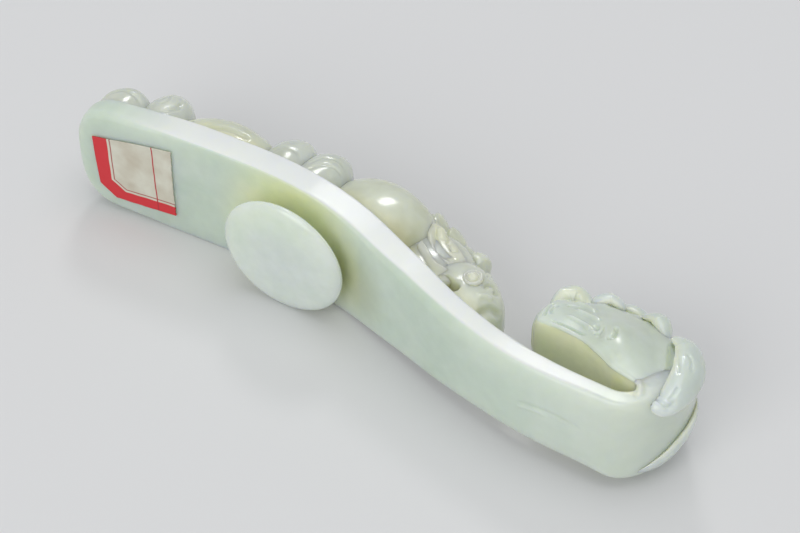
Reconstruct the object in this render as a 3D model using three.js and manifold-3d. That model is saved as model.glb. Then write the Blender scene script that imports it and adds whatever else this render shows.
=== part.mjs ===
// A jade belt hook that lies on its long side. A bowed shank carries a round button behind and ends in a
// dragon's head, which is turned back over the front as the hook. A young hornless dragon crawls along the
// front toward that head, and a small paper label is pasted on the back near the tail end.
// Millimetres. +X runs from the tail end to the hook, +Z across the width, -Y is the button side.
import * as THREE from "three";
import { mergeVertices } from "three/addons/utils/BufferGeometryUtils.js";
import Module from "manifold-3d";

const wasm = await Module();
wasm.setup();

// Fits
const seatGap = 0.3; // clearance between neighbouring members

// Shank
const shankLength = 115.6; // tail end to where the neck starts to turn
const shankBow = 18.1; // how far the back falls from its crest to the neck
const shankWidth = 24.6;
const shankThickness = 5.2; // tail half
const neckThickness = 3.6; // where the neck starts to turn
const edgeRound = 1.1;
const backCrown = 0.35; // swell of the back face
const tailRound = 9; // length of the rounded tail end

// Hook: neck and dragon's head
const turnLength = 11.2; // from the shank's end out to the farthest point of the turn
const hookGap = 8.9; // from the shank's front face up to the chin
const headHeight = 15; // chin to brow
const jawLength = 23.6; // chin, from the inner end of the slot to its front
const headLength = 31; // top of the head, from the nape to the snout
const cheekSwell = 2.1; // how far a cheek stands out of the head, as far as the shank is broad
const noseHeight = 3.2;
const browHeight = 2;
const cheekLength = 19;
const cheekHeight = 12.4;
const hornRadius = 1.5;
const earLength = 7;
const maneRadius = 2.3;
const ridgeWidth = 6.4;
const ridgeHeight = 1.2;
const ridgeLean = 5; // how far the strip of mane sweeps to the far side as it runs down

// Button
const buttonDiameter = 24.2;
const buttonThickness = 2.7;
const buttonBevel = 1.1;
const buttonTiltDegrees = 2; // as the tail half falls toward the hook
const strapGap = 4.4; // from the shank's back to the button
const stemLength = 13; // along the shank, at the middle of the stem
const stemBreadth = 10;
const stemFlare = 2.6; // how far the stem spreads at the shank
const stemNeckFlare = 0.8; // how far it spreads at the button

// Young dragon on the front: breadths across the shank, and heights above its front face
const headSpacing = 6.4; // along the shank, from the young dragon's muzzle to the big dragon's jaw
const bodyBreadth = 21.6;
const bodyHeight = 12.6;
const maneStep = 0.25; // how far the mane stands out past the muzzle on each side
const maneHeight = 12.2;
const muzzleBreadth = 17;
const muzzleHeight = 10.8;
const haunchBreadth = 10.6;
const haunchHeight = 10;
const footBreadth = 10.6;
const footHeight = 9.4;
const tailBreadth = 11;
const tailHeight = 7.7;
const forkBreadth = 10.8;
const forkHeight = 9;
const curlBreadth = 10.4;
const curlHeight = 6.7;
const crestHeight = 3.2;
const forelegWidth = 4;
const eyeRadius = 2.1;
const leafWidth = 5.2;

// Paper label
const labelInset = 4.6; // from the tail end
const labelLength = 16.6;
const labelBreadth = 15.8;
const labelTiltDegrees = 5; // as it was pasted askew
const labelCorner = 3.6; // the corner that is cut off
const labelThickness = 0.3;

// Counts
const tailSteps = 7;
const shankSteps = 26;
const cornerSteps = 3;
const faceSteps = 4;
const neckSteps = 9;
const headSteps = 20;
const lobeRounds = 16;
const lobeRings = 10;
const limbSteps = 12;
const limbSides = 10;
const archSides = 12;
const turnedSteps = 40;
const bevelSteps = 4;
const endTurnDegrees = 79; // of a quarter turn, as far as a round end is drawn

// Back of the shank, as shares of its length and of its bow, from the tail end
const backLineShares = [
  [0, 0.066],
  [0.143, 0.017],
  [0.266, 0],
  [0.389, 0.033],
  [0.511, 0.182],
  [0.617, 0.414],
  [0.722, 0.669],
  [0.827, 0.856],
  [0.915, 0.95],
  [1, 1],
];
// Width along the shank, as shares of its length and width
const widthShares = [
  [0, 0.95],
  [0.12, 0.985],
  [0.19, 1],
  [0.3, 1],
  [0.46, 1],
  [0.525, 0.955],
  [0.59, 0.89],
  [0.635, 0.86],
  [0.735, 0.785],
  [0.83, 0.725],
  [0.915, 0.735],
  [1, 0.77],
];
const thinningStartShare = 0.36; // of the shank's length, where it starts to grow thinner
const thinningEndShare = 0.8;
const tailBoxShare = 0.23; // from an ellipse toward a square end

const point = (x, y, z = 0) => new THREE.Vector3(x, y, z);
const mix = (a, b, share) => a + (b - a) * share;
const power = (value, exponent) => Math.sign(value) * Math.abs(value) ** exponent;
const boxPower = (boxShare) => 2 / (1 - boxShare); // 2 draws an ellipse, more draws toward a box
const degrees = (angle) => (angle * Math.PI) / 180;

const endTurn = degrees(endTurnDegrees);

// A smooth table: rows of equal length, read at any place along them
function smoothTable(places, rows) {
  const width = rows[0].length;
  const reader = new THREE.CubicInterpolant(places, rows.flat(), width);
  return (place) => Array.from(reader.evaluate(place)).slice(0, width);
}

const backLine = new THREE.CatmullRomCurve3(
  backLineShares.map(([along, down]) => point(along * shankLength, -down * shankBow)),
);
backLine.arcLengthDivisions = 400;
const lineLength = backLine.getLength();
const readWidth = smoothTable(
  widthShares.map(([place]) => place),
  widthShares.map(([, share]) => [share]),
);

function thicknessAt(along) {
  const share = THREE.MathUtils.smoothstep(along / lineLength, thinningStartShare, thinningEndShare);
  return mix(shankThickness, neckThickness, share);
}

function widthAt(along) {
  const place = THREE.MathUtils.clamp(along / lineLength, 0, 1);
  return shankWidth * Math.min(1, readWidth(place)[0]);
}

// The back of the shank at a distance from the tail end, with its direction and the way to the front
function backAt(along) {
  const place = THREE.MathUtils.clamp(along / lineLength, 0, 1);
  const forward = backLine.getTangentAt(place);
  const past = along - place * lineLength;
  const spot = backLine.getPointAt(place).addScaledVector(forward, past);
  return { spot, forward, front: point(-forward.y, forward.x) };
}

// A point over the front face: distance from the tail end, place across, height
function overFront(along, across, height) {
  const { spot, front } = backAt(along);
  const rise = thicknessAt(along) + height;
  return spot.clone().addScaledVector(front, rise).setZ(across);
}

// Closed surface through rings of equal counts, with a fan over each end
function closedLoft(rings) {
  const count = rings[0].length;
  const corners = rings.flat();
  const faces = [];
  for (let ring = 0; ring + 1 < rings.length; ring++) {
    for (let i = 0; i < count; i++) {
      const next = (i + 1) % count;
      const a = ring * count + i;
      const b = ring * count + next;
      faces.push(a, b, b + count, a, b + count, a + count);
    }
  }
  const middle = (ring) => ring.reduce((sum, p) => sum.add(p), point(0, 0)).divideScalar(ring.length);
  const first = corners.length;
  corners.push(middle(rings[0]), middle(rings.at(-1)));
  const last = (rings.length - 1) * count;
  for (let i = 0; i < count; i++) {
    const next = (i + 1) % count;
    faces.push(first, next, i, first + 1, last + i, last + next);
  }
  const shape = new THREE.BufferGeometry().setFromPoints(corners);
  shape.setIndex(faces);
  return shape;
}

// A solid of a closed shape, turned the right way out
function solidOf(shape) {
  const bare = shape.clone();
  bare.deleteAttribute("normal");
  bare.deleteAttribute("uv");
  const merged = mergeVertices(bare);
  const triVerts = new Uint32Array(merged.index.array);
  const vertProperties = new Float32Array(merged.attributes.position.array);
  return new wasm.Manifold(new wasm.Mesh({ numProp: 3, vertProperties, triVerts }));
}

function shapeOf(solid) {
  const mesh = solid.getMesh();
  const shape = new THREE.BufferGeometry();
  shape.setAttribute("position", new THREE.BufferAttribute(mesh.vertProperties, 3));
  shape.setIndex(new THREE.BufferAttribute(mesh.triVerts, 1));
  const faceted = shape.toNonIndexed();
  faceted.computeVertexNormals();
  return faceted;
}

// Outline of a section: pairs of place across and depth from the front face, rounded at its four corners
function sectionOutline({ width, depth, frontRound, backRound, crown = 0 }) {
  const half = width / 2;
  const outline = [];
  const corner = (sideways, turn, round, front) => {
    const [across, through] = round;
    const centreAcross = sideways * (half - across);
    const centreDepth = front ? through : depth - through;
    for (let i = 0; i <= cornerSteps; i++) {
      const angle = turn + (i / cornerSteps) * (Math.PI / 2);
      outline.push([centreAcross + across * Math.cos(angle), centreDepth + through * Math.sin(angle)]);
    }
  };
  const face = (from, to, level) => {
    for (let i = 1; i < faceSteps; i++) {
      outline.push([mix(from, to, i / faceSteps), level]);
    }
  };
  corner(1, -Math.PI / 2, frontRound, true);
  corner(1, 0, backRound, false);
  face(half - backRound[0], backRound[0] - half, depth);
  corner(-1, Math.PI / 2, backRound, false);
  corner(-1, Math.PI, frontRound, true);
  face(frontRound[0] - half, half - frontRound[0], 0);
  return outline.map(([across, through]) => {
    const swell = crown * (1 - (across / half) ** 2) * (through / depth);
    return [across, through + swell];
  });
}

// A ring of the section between a point on the front rail and one on the back rail
function railRing(front, back, section) {
  const depth = front.distanceTo(back);
  const inward = back.clone().sub(front).normalize();
  return sectionOutline({ ...section, depth }).map(([across, through]) =>
    front.clone().addScaledVector(inward, through).setZ(across),
  );
}

// Shank
function shankRing(along, grow) {
  const ending = Math.max(0, 1 - along / tailRound);
  const tailPower = boxPower(tailBoxShare);
  const rounding = Math.max(0, 1 - ending ** tailPower) ** (1 / tailPower);
  const thin = mix(thicknessAt(along) / 2, thicknessAt(along), rounding);
  const inset = (thicknessAt(along) - thin) / 2;
  const { spot, front } = backAt(along);
  const width = widthAt(along) * rounding + 2 * grow;
  const back = spot.clone().addScaledVector(front, inset - grow);
  const face = spot.clone().addScaledVector(front, inset + thin + grow);
  const round = Math.min(edgeRound, thin / 3, width / 4);
  const rounds = { frontRound: [round, round], backRound: [round, round] };
  return railRing(face, back, { width, crown: backCrown * rounding, ...rounds });
}

function shankShape(grow = 0) {
  const rings = [];
  for (let i = 1; i <= tailSteps; i++) {
    const along = tailRound * (1 - Math.cos(((i / tailSteps) * Math.PI) / 2));
    rings.push(shankRing(along, grow));
  }
  for (let i = 1; i <= shankSteps; i++) {
    rings.push(shankRing(mix(tailRound, lineLength - seatGap, i / shankSteps), grow));
  }
  return closedLoft(rings);
}

// Hook. Rows of the neck: inner point, outer point and width, as shares of the reach of the turn, of the
// gap above the front face, of the whole rise from the shank's back to the brow, and of the head's width
const headWidth = shankWidth - 2 * cheekSwell;
const hookRise = neckThickness + hookGap + headHeight;
const neckRailShares = [
  [0.02, 0, 0, 0, 0.93],
  [0.15, 0.03, 0.33, 0.032, 0.95],
  [0.27, 0.09, 0.66, 0.14, 0.97],
  [0.325, 0.16, 0.9, 0.296, 0.98],
  [0.33, 0.22, 1, 0.465, 1],
  [0.29, 0.27, 0.93, 0.616, 1],
];
// Rows of the head: inner point along the jaw and up the gap, outer point along the head and up the rise,
// width, and how far the top is rounded
const headRailShares = [
  [0, 0.27, 0, 0.616, 1, 0.8],
  [0.047, 0.29, 0.075, 0.745, 1.01, 0.8],
  [0.114, 0.34, 0.195, 0.81, 1.02, 0.79],
  [0.203, 0.44, 0.327, 0.875, 1.02, 0.79],
  [0.314, 0.61, 0.453, 0.915, 1, 0.82],
  [0.479, 0.81, 0.59, 0.905, 0.94, 0.84],
  [0.606, 0.91, 0.68, 0.88, 0.89, 0.84],
  [0.733, 0.97, 0.765, 0.86, 0.87, 0.82],
  [0.839, 0.99, 0.84, 0.85, 0.86, 0.8],
  [0.919, 0.99, 0.895, 0.82, 0.81, 0.78],
  [0.966, 1, 0.92, 0.74, 0.7, 0.78],
  [1, 1.06, 0.94, 0.66, 0.54, 0.78],
];
// The back of the neck grows round between these two places along it
const neckRoundStartShare = 0.1;
const neckRoundEndShare = 0.8;
const slotEndX = neckRailShares.at(-1)[0] * turnLength;
const napeX = neckRailShares.at(-1)[2] * turnLength;
const rowPlaces = (rows) => rows.map((row, i) => i / (rows.length - 1));
const readNeck = smoothTable(rowPlaces(neckRailShares), neckRailShares);
const readHead = smoothTable(rowPlaces(headRailShares), headRailShares);

// Rings of the hook spread their points apart by the growth that a neighbour's cut needs
function hookRing(inner, outer, width, topRound, grow) {
  const inward = outer.clone().sub(inner).normalize();
  const front = inner.clone().addScaledVector(inward, -grow);
  const back = outer.clone().addScaledVector(inward, grow);
  const depth = front.distanceTo(back);
  const round = Math.min(edgeRound, depth / 3);
  const across = Math.max(round, (topRound * width) / 2);
  const through = Math.max(round, topRound * depth);
  const rounds = { frontRound: [round, round], backRound: [across, Math.min(through, depth - round)] };
  return railRing(front, back, { width: width + 2 * grow, ...rounds });
}

function makeNeck(grow = 0) {
  const rings = [];
  for (let i = 0; i <= neckSteps; i++) {
    const place = i / neckSteps;
    const [innerX, innerY, outerX, outerY, width] = readNeck(place);
    const inner = point(innerX * turnLength, neckThickness + innerY * hookGap);
    const outer = point(outerX * turnLength, outerY * hookRise);
    const rounding = THREE.MathUtils.smoothstep(place, neckRoundStartShare, neckRoundEndShare);
    const topRound = mix(edgeRound / headWidth, headRailShares[0][5], rounding);
    rings.push(hookRing(inner, outer, width * headWidth, topRound, grow));
  }
  return solidOf(closedLoft(rings));
}

function headRails(place) {
  const [innerX, innerY, outerX, outerY, width, topRound] = readHead(place);
  const inner = point(slotEndX - innerX * jawLength, neckThickness + innerY * hookGap);
  const outer = point(napeX - outerX * headLength, outerY * hookRise);
  return { inner, outer, width: width * headWidth, topRound };
}

function makeSkull(grow = 0) {
  const rings = [];
  for (let i = 0; i <= headSteps; i++) {
    const { inner, outer, width, topRound } = headRails(i / headSteps);
    rings.push(hookRing(inner, outer, width, topRound, grow));
  }
  return solidOf(closedLoft(rings));
}

// A rounded lobe about a point, with its three radii and a turn in the side view
function makeLobe({ at, radii, turn = 0 }, grow = 0) {
  const shape = new THREE.SphereGeometry(1, lobeRounds, lobeRings);
  shape.scale(radii[0] + grow, radii[1] + grow, radii[2] + grow);
  shape.rotateZ(turn);
  shape.translate(at.x, at.y, at.z);
  return solidOf(shape);
}

// A limb with round ends along a path in space, as deep as it is told and as broad across
function makeLimb({ path, depth, breadth, taper = 1 }, grow = 0) {
  const curve = new THREE.CatmullRomCurve3(path);
  const rings = [];
  for (let i = 0; i <= limbSteps; i++) {
    const turn = mix(-1, 1, i / limbSteps) * endTurn;
    const place = (1 + Math.sin(turn) / Math.sin(endTurn)) / 2;
    const spot = curve.getPointAt(place);
    const forward = curve.getTangentAt(place);
    const side = point(-forward.y, forward.x).normalize();
    const size = Math.sqrt(Math.cos(turn)) * mix(1, taper, place);
    const ring = [];
    for (let j = 0; j < limbSides; j++) {
      const angle = (j / limbSides) * 2 * Math.PI;
      const outward = (depth / 2) * size + grow;
      const across = (breadth / 2) * size + grow;
      const corner = spot.clone().addScaledVector(side, outward * Math.cos(angle));
      ring.push(corner.setZ(corner.z + across * Math.sin(angle)));
    }
    rings.push(ring);
  }
  return solidOf(closedLoft(rings));
}

// A place on the head: share along it from nape to snout, share of the way up from chin to crown
function onHead(place, up, across) {
  const { inner, outer } = headRails(place);
  return inner.lerp(outer, up).setZ(across);
}

const noseLobe = () => ({
  at: onHead(0.76, 1.1, 0),
  radii: [noseHeight * 1.1, noseHeight, noseHeight * 1.6],
});
const browLobe = (side) => ({
  at: onHead(0.47, 0.86, (side * headWidth) / 4.6),
  radii: [browHeight * 1.5, browHeight, browHeight * 1.4],
});
const cheekLobe = (side) => ({
  at: onHead(0.25, 0.42, side * (headWidth / 2 - cheekHeight / 6)),
  radii: [cheekLength / 2, cheekHeight / 2, cheekSwell + cheekHeight / 6],
  turn: degrees(-40),
});
const earLobe = (side) => ({
  at: onHead(0.28, 0.95, (side * headWidth) / 3.6),
  radii: [earLength / 2, earLength / 3.4, earLength / 3.2],
  turn: degrees(-30),
});
const hornPlaceShares = [0.5, 0.4, 0.3, 0.2];
const hornLimb = (side) => ({
  path: hornPlaceShares.map((place) => onHead(place, 1, side * mix(headWidth / 4, headWidth / 9, 2 * place))),
  depth: hornRadius * 2,
  breadth: hornRadius * 2,
  taper: 0.7,
});
// The lock of mane runs from the nape round the turn and ends in a curl at the neck's side
const maneLockShares = [
  [0.36, 0.7],
  [0.58, 0.61],
  [0.75, 0.46],
  [0.72, 0.32],
  [0.6, 0.215],
  [0.46, 0.19],
];
const maneLimb = (side) => ({
  path: maneLockShares.map(([out, up]) =>
    point(out * turnLength, up * hookRise, (side * (headWidth - maneRadius)) / 2),
  ),
  depth: maneRadius * 2,
  breadth: maneRadius * 2,
  taper: 1.25,
});
const ridgePlaceShares = [1, 0.8, 0.62, 0.45, 0.3]; // down the neck, from the nape
const ridgeLimb = () => ({
  path: ridgePlaceShares.map((place) => {
    const [, , outerX, outerY] = readNeck(place);
    return point(outerX * turnLength, outerY * hookRise, -ridgeLean * (1 - place) ** 0.7);
  }),
  depth: ridgeHeight * 2,
  breadth: ridgeWidth,
});

const dragonSides = [["left", 1], ["right", -1]];

// Each detail of the head stands on the neck and skull, clear of them and of the details before it
function makeHookMembers() {
  const neck = makeNeck();
  const skull = makeSkull().subtract(makeNeck(seatGap));
  const made = { hook_neck: neck, dragon_head: skull };
  const lobes = [["dragon_nose", noseLobe()]];
  const limbs = [];
  for (const [name, side] of dragonSides) {
    lobes.push(["dragon_brow_" + name, browLobe(side)]);
    lobes.push(["dragon_cheek_" + name, cheekLobe(side)]);
    lobes.push(["dragon_ear_" + name, earLobe(side)]);
    limbs.push(["dragon_horn_" + name, hornLimb(side)]);
    limbs.push(["dragon_mane_" + name, maneLimb(side)]);
  }
  limbs.push(["dragon_mane_ridge", ridgeLimb()]);
  let carved = makeNeck(seatGap).add(makeSkull(seatGap));
  for (const [name, limb] of limbs) {
    made[name] = makeLimb(limb).subtract(carved);
    carved = carved.add(makeLimb(limb, seatGap));
  }
  for (const [name, lobe] of lobes) {
    made[name] = makeLobe(lobe).subtract(carved);
    carved = carved.add(makeLobe(lobe, seatGap));
  }
  return made;
}

// Button and its stem, about an axis that runs out from the back of the shank
const buttonShare = 0.409; // of the back line's length, from the tail end

function makeButton() {
  const radius = buttonDiameter / 2;
  const profile = [new THREE.Vector2(0, 0)];
  const quarter = Math.PI / 2;
  for (const [level, from] of [[buttonBevel / 2, -quarter], [buttonThickness - buttonBevel, 0]]) {
    const rise = from < 0 ? buttonBevel / 2 : buttonBevel;
    for (let i = 0; i <= bevelSteps; i++) {
      const angle = from + (quarter * i) / bevelSteps;
      const reach = radius - rise + rise * Math.cos(angle);
      profile.push(new THREE.Vector2(reach, level + rise * Math.sin(angle)));
    }
  }
  profile.push(new THREE.Vector2(0, buttonThickness));
  const shape = new THREE.LatheGeometry(profile, turnedSteps);
  return solidOf(shape);
}

// The stem stands on the shank's back, given in the button's own frame
function makeStem(shankBack) {
  const rings = [];
  for (let i = 0; i <= limbSteps; i++) {
    const place = i / limbSteps;
    const spread = stemFlare * (1 - place) ** 3 + stemNeckFlare * place ** 3;
    const level = mix(-shankThickness / 2, strapGap - seatGap, place);
    const ring = [];
    for (let j = 0; j < turnedSteps / 2; j++) {
      const angle = (j / turnedSteps) * 4 * Math.PI;
      const along = (stemLength / 2 + spread) * Math.cos(angle);
      const across = (stemBreadth / 2 + spread) * Math.sin(angle);
      ring.push(point(along, level, across));
    }
    rings.push(ring.reverse());
  }
  return solidOf(closedLoft(rings)).subtract(shankBack);
}

// Young dragon. A member stands on the front face: its section is an arch that may turn under at its foot
function archRing(spot, halfBreadth, height, under, exponent, grow) {
  const foot = Math.asin(under ** (exponent / 2));
  const centre = (height * under) / (1 + under);
  const radius = height / (1 + under);
  const ring = [];
  for (let j = 0; j <= archSides; j++) {
    const angle = mix(Math.PI + foot, -foot, j / archSides);
    const sideways = (halfBreadth + grow) * power(Math.cos(angle), 2 / exponent);
    const rise = centre + (radius + grow) * power(Math.sin(angle), 2 / exponent);
    ring.push(overFront(spot.along, spot.across + sideways, Math.max(rise, 0) + seatGap));
  }
  return ring;
}

const maneBreadth = muzzleBreadth + 2 * maneStep;

// The front of the shank that the young dragon fills, from the tail end to its muzzle
const reliefSpan = lineLength - (jawLength - slotEndX) - headSpacing;

// A mound on the front, with its centre and length as shares of that span
function makeMound({ placeShare, acrossShare, lengthShare, underShare, boxShare, breadth, height }, grow = 0) {
  const exponent = boxPower(boxShare);
  const reach = (lengthShare * reliefSpan) / 2 + grow;
  const across = (acrossShare * shankWidth) / 2;
  const rings = [];
  for (let i = 0; i <= limbSteps; i++) {
    const angle = mix(-1, 1, i / limbSteps) * endTurn;
    const along = placeShare * reliefSpan + (Math.sin(angle) / Math.sin(endTurn)) * reach;
    const size = Math.cos(angle) ** (2 / exponent);
    rings.push(archRing({ along, across }, (breadth / 2) * size, height * size, underShare, exponent, grow));
  }
  return solidOf(closedLoft(rings));
}

// A block that lies on one side of a plane through a spot
function blockBeyond(spot, direction) {
  const size = 2 * shankLength;
  const shape = new THREE.BoxGeometry(size, size, size);
  shape.translate(size / 2, 0, 0);
  shape.applyQuaternion(new THREE.Quaternion().setFromUnitVectors(point(1, 0), direction));
  shape.translate(spot.x, spot.y, spot.z);
  return solidOf(shape);
}

// The part of a solid between two shares of the span, and on one side of the middle if asked
function stretchOf(solid, [from, to], side = 0) {
  const start = backAt(from * reliefSpan + seatGap / 2);
  const end = backAt(to * reliefSpan - seatGap / 2);
  const kept = solid
    .intersect(blockBeyond(start.spot, start.forward))
    .intersect(blockBeyond(end.spot, end.forward.negate()));
  return side ? kept.intersect(blockBeyond(point(0, 0, (side * seatGap) / 2), point(0, 0, side))) : kept;
}

// Members in a row from the tail end to the muzzle. Shares of the span: centre, length, and the stretch
// that each fills; then how far its side turns under at the foot, and how boxy it is
const sideShare = 0.45; // of the half width, where paired members stand
const placed = (placeShare, lengthShare, acrossShare = 0) => ({ placeShare, lengthShare, acrossShare });
const formed = (underShare, boxShare) => ({ underShare, boxShare });
const singles = [
  {
    name: "chilong_tail",
    stretchShares: [0.213, 0.402],
    mound: { ...placed(0.31, 0.24, 0.42), ...formed(0.3, 0.33), breadth: tailBreadth, height: tailHeight },
  },
  {
    name: "chilong_body",
    stretchShares: [0.548, 0.74],
    mound: { ...placed(0.652, 0.238), ...formed(0.5, 0.29), breadth: bodyBreadth, height: bodyHeight },
  },
  {
    name: "chilong_mane",
    stretchShares: [0.74, 0.856],
    mound: { ...placed(0.795, 0.18), ...formed(0.3, 0.33), breadth: maneBreadth, height: maneHeight },
  },
  {
    name: "chilong_head",
    stretchShares: [0.856, 1.3],
    mound: { ...placed(0.892, 0.208), ...formed(0.5, 0.29), breadth: muzzleBreadth, height: muzzleHeight },
  },
];
const pairs = [
  {
    name: "chilong_tail_curl",
    stretchShares: [-1, 0.125],
    mound: { ...placed(0.078, 0.103), ...formed(0.3, 0.17), breadth: curlBreadth, height: curlHeight },
  },
  {
    name: "chilong_tail_fork",
    stretchShares: [0.125, 0.213],
    mound: { ...placed(0.17, 0.103), ...formed(0.3, 0.17), breadth: forkBreadth, height: forkHeight },
  },
  {
    name: "chilong_hindfoot",
    stretchShares: [0.402, 0.483],
    mound: { ...placed(0.444, 0.096), ...formed(0.3, 0.17), breadth: footBreadth, height: footHeight },
  },
  {
    name: "chilong_haunch",
    stretchShares: [0.483, 0.548],
    mound: { ...placed(0.516, 0.096), ...formed(0.3, 0.17), breadth: haunchBreadth, height: haunchHeight },
  },
];
const bothSides = [["right", 1], ["left", -1]];

// Details that stand on the head and mane: paths of place along the span, share of the muzzle's half
// breadth across, and height over the front
function overRows(rows, side) {
  return rows.map(([place, across, height]) =>
    overFront(place * reliefSpan, (side * across * muzzleBreadth) / 2, height),
  );
}
const crestLimb = () => ({
  path: overRows(
    [
      [0.7, 0, maneHeight],
      [0.75, 0, maneHeight + crestHeight / 6],
      [0.8, 0, maneHeight + crestHeight / 6],
      [0.845, 0, maneHeight],
    ],
    1,
  ),
  depth: crestHeight * 2,
  breadth: crestHeight * 1.4,
});
const leafLimb = (side) => ({
  path: overRows(
    [
      [0.735, 0.81, maneHeight * 0.72],
      [0.775, 0.93, maneHeight * 0.55],
      [0.815, 0.955, maneHeight * 0.42],
      [0.85, 0.9, maneHeight * 0.44],
    ],
    side,
  ),
  depth: leafWidth,
  breadth: leafWidth,
});
const forelegLimb = (side) => ({
  path: overRows(
    [
      [0.8, 0.955, maneHeight * 0.2],
      [0.86, 1.04, maneHeight * 0.3],
      [0.92, 1.015, forelegWidth / 2 + seatGap],
    ],
    side,
  ),
  depth: forelegWidth,
  breadth: forelegWidth,
});
const eyeLobe = (side) => ({
  at: overFront(0.893 * reliefSpan, side * muzzleBreadth * 0.46, muzzleHeight * 0.53),
  radii: [eyeRadius, eyeRadius, eyeRadius * 0.7],
});

function makeRelief() {
  const made = {};
  let carved = solidOf(shankShape(seatGap));
  const keep = (name, whole, grown) => {
    made[name] = whole;
    carved = carved.add(grown);
  };
  for (const { name, stretchShares, mound } of singles) {
    keep(name, stretchOf(makeMound(mound), stretchShares), makeMound(mound, seatGap));
  }
  for (const [suffix, side] of bothSides) {
    for (const { name, stretchShares, mound } of pairs) {
      const own = { ...mound, acrossShare: side * sideShare };
      keep(name + "_" + suffix, stretchOf(makeMound(own), stretchShares, side), makeMound(own, seatGap));
    }
    const details = [
      ["chilong_foreleg_", makeLimb, forelegLimb],
      ["chilong_leaf_", makeLimb, leafLimb],
      ["chilong_eye_", makeLobe, eyeLobe],
    ];
    for (const [name, make, detail] of details) {
      keep(name + suffix, make(detail(side)).subtract(carved), make(detail(side), seatGap));
    }
  }
  keep("chilong_crest", makeLimb(crestLimb()).subtract(carved), makeLimb(crestLimb(), seatGap));
  return made;
}

// Paper label, laid over the back face
function makeLabel() {
  const rings = [];
  for (let i = 0; i <= limbSteps; i++) {
    const step = (labelLength * i) / limbSteps;
    const rise = (step - labelLength / 2) * Math.tan(degrees(labelTiltDegrees));
    const cut = Math.max(0, labelCorner - step);
    const { spot, front } = backAt(labelInset + step);
    const edge = (across, out) => spot.clone().addScaledVector(front, -out - backCrown).setZ(across);
    const bottom = rise - labelBreadth / 2 + cut;
    const top = rise + labelBreadth / 2;
    rings.push([
      edge(bottom, seatGap),
      edge(top, seatGap),
      edge(top, seatGap + labelThickness),
      edge(bottom, seatGap + labelThickness),
    ]);
  }
  return solidOf(closedLoft(rings));
}

// Materials
const polishedJade = (color) => new THREE.MeshStandardMaterial({ color, roughness: 0.22, metalness: 0 });
const shankJade = () => polishedJade(0xdfe8da);
const dragonJade = () => polishedJade(0xd3dccb);
const chilongJade = () => polishedJade(0xd6dbc4);
const buttonJade = () => polishedJade(0xd5e2d3);
const labelPaper = () => new THREE.MeshStandardMaterial({ color: 0xeee3cf, roughness: 0.85, metalness: 0 });

function namedMesh(name, solid, material) {
  const mesh = new THREE.Mesh(shapeOf(solid), material);
  mesh.name = name;
  return mesh;
}

function buttonGroup() {
  const { spot } = backAt(buttonShare * lineLength);
  const group = new THREE.Group();
  group.position.copy(spot);
  group.rotation.z = degrees(180 - buttonTiltDegrees);
  group.updateMatrixWorld();
  const shankBack = solidOf(shankShape(seatGap).applyMatrix4(group.matrixWorld.clone().invert()));
  const disc = namedMesh("button", makeButton(), buttonJade());
  disc.position.y = strapGap;
  group.add(namedMesh("button_stem", makeStem(shankBack), buttonJade()), disc);
  return group;
}

function hookGroup() {
  const group = new THREE.Group();
  group.position.set(shankLength, -shankBow, 0);
  for (const [name, solid] of Object.entries(makeHookMembers())) {
    group.add(namedMesh(name, solid, dragonJade()));
  }
  return group;
}

function reliefGroup() {
  const group = new THREE.Group();
  for (const [name, solid] of Object.entries(makeRelief())) {
    group.add(namedMesh(name, solid, chilongJade()));
  }
  return group;
}

// The hook stands with its origin under the middle of what it covers
const assembly = new THREE.Group();
assembly.add(namedMesh("shank", solidOf(shankShape()), shankJade()));
assembly.add(hookGroup());
assembly.add(buttonGroup());
assembly.add(reliefGroup());
assembly.add(namedMesh("paper_label", makeLabel(), labelPaper()));
const reach = new THREE.Box3().setFromObject(assembly);
assembly.position.set(-(reach.min.x + reach.max.x) / 2, -(reach.min.y + reach.max.y) / 2, -reach.min.z);
const beltHook = new THREE.Group();
beltHook.add(assembly);
export default beltHook;
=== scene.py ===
import bpy
import numpy as np
from mathutils import Matrix, Vector


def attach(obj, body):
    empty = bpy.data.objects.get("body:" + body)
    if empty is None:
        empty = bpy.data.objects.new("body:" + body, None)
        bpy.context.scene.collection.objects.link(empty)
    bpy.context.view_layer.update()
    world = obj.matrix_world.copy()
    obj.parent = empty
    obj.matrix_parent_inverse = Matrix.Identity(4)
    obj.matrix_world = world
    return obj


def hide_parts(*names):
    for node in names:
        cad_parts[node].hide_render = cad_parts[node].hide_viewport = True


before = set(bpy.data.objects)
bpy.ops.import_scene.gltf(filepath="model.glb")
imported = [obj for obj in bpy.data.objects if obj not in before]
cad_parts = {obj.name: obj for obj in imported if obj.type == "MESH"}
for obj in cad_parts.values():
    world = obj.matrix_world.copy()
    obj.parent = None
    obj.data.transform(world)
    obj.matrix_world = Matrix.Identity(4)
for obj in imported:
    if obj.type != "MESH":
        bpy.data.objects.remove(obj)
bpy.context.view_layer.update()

print("frame loaded:", len(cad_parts), "carved members")

# Shapes are worked out in millimetres in the frame's own axes, and turned into metres in the mesh.
# x runs from the tail end to the hook, z across the width, and the button is on the side of -y.
millimetre = 0.001
midHeight = 12.3  # the plane that halves the width
lineStart = np.array([-63.961, 1.885])  # the back of the shank at its tail end, before the bow
dragonSides = (("left", 1), ("right", -1))
reliefSides = (("right", 1), ("left", -1))  # the young dragon faces the other way
# the frame's names for members whose pieces are called something else
frameNames = {
    "nose": "dragon_nose", "ridge": "dragon_mane_ridge",
    "chilongBody": "chilong_body", "chilongMane": "chilong_mane", "chilongHead": "chilong_head",
    "chilongTail": "chilong_tail", "tailCurl": "chilong_tail_curl", "tailFork": "chilong_tail_fork",
    "hindfoot": "chilong_hindfoot", "haunch": "chilong_haunch",
}


def mix(a, b, share):
    return a + (b - a) * share


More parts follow.
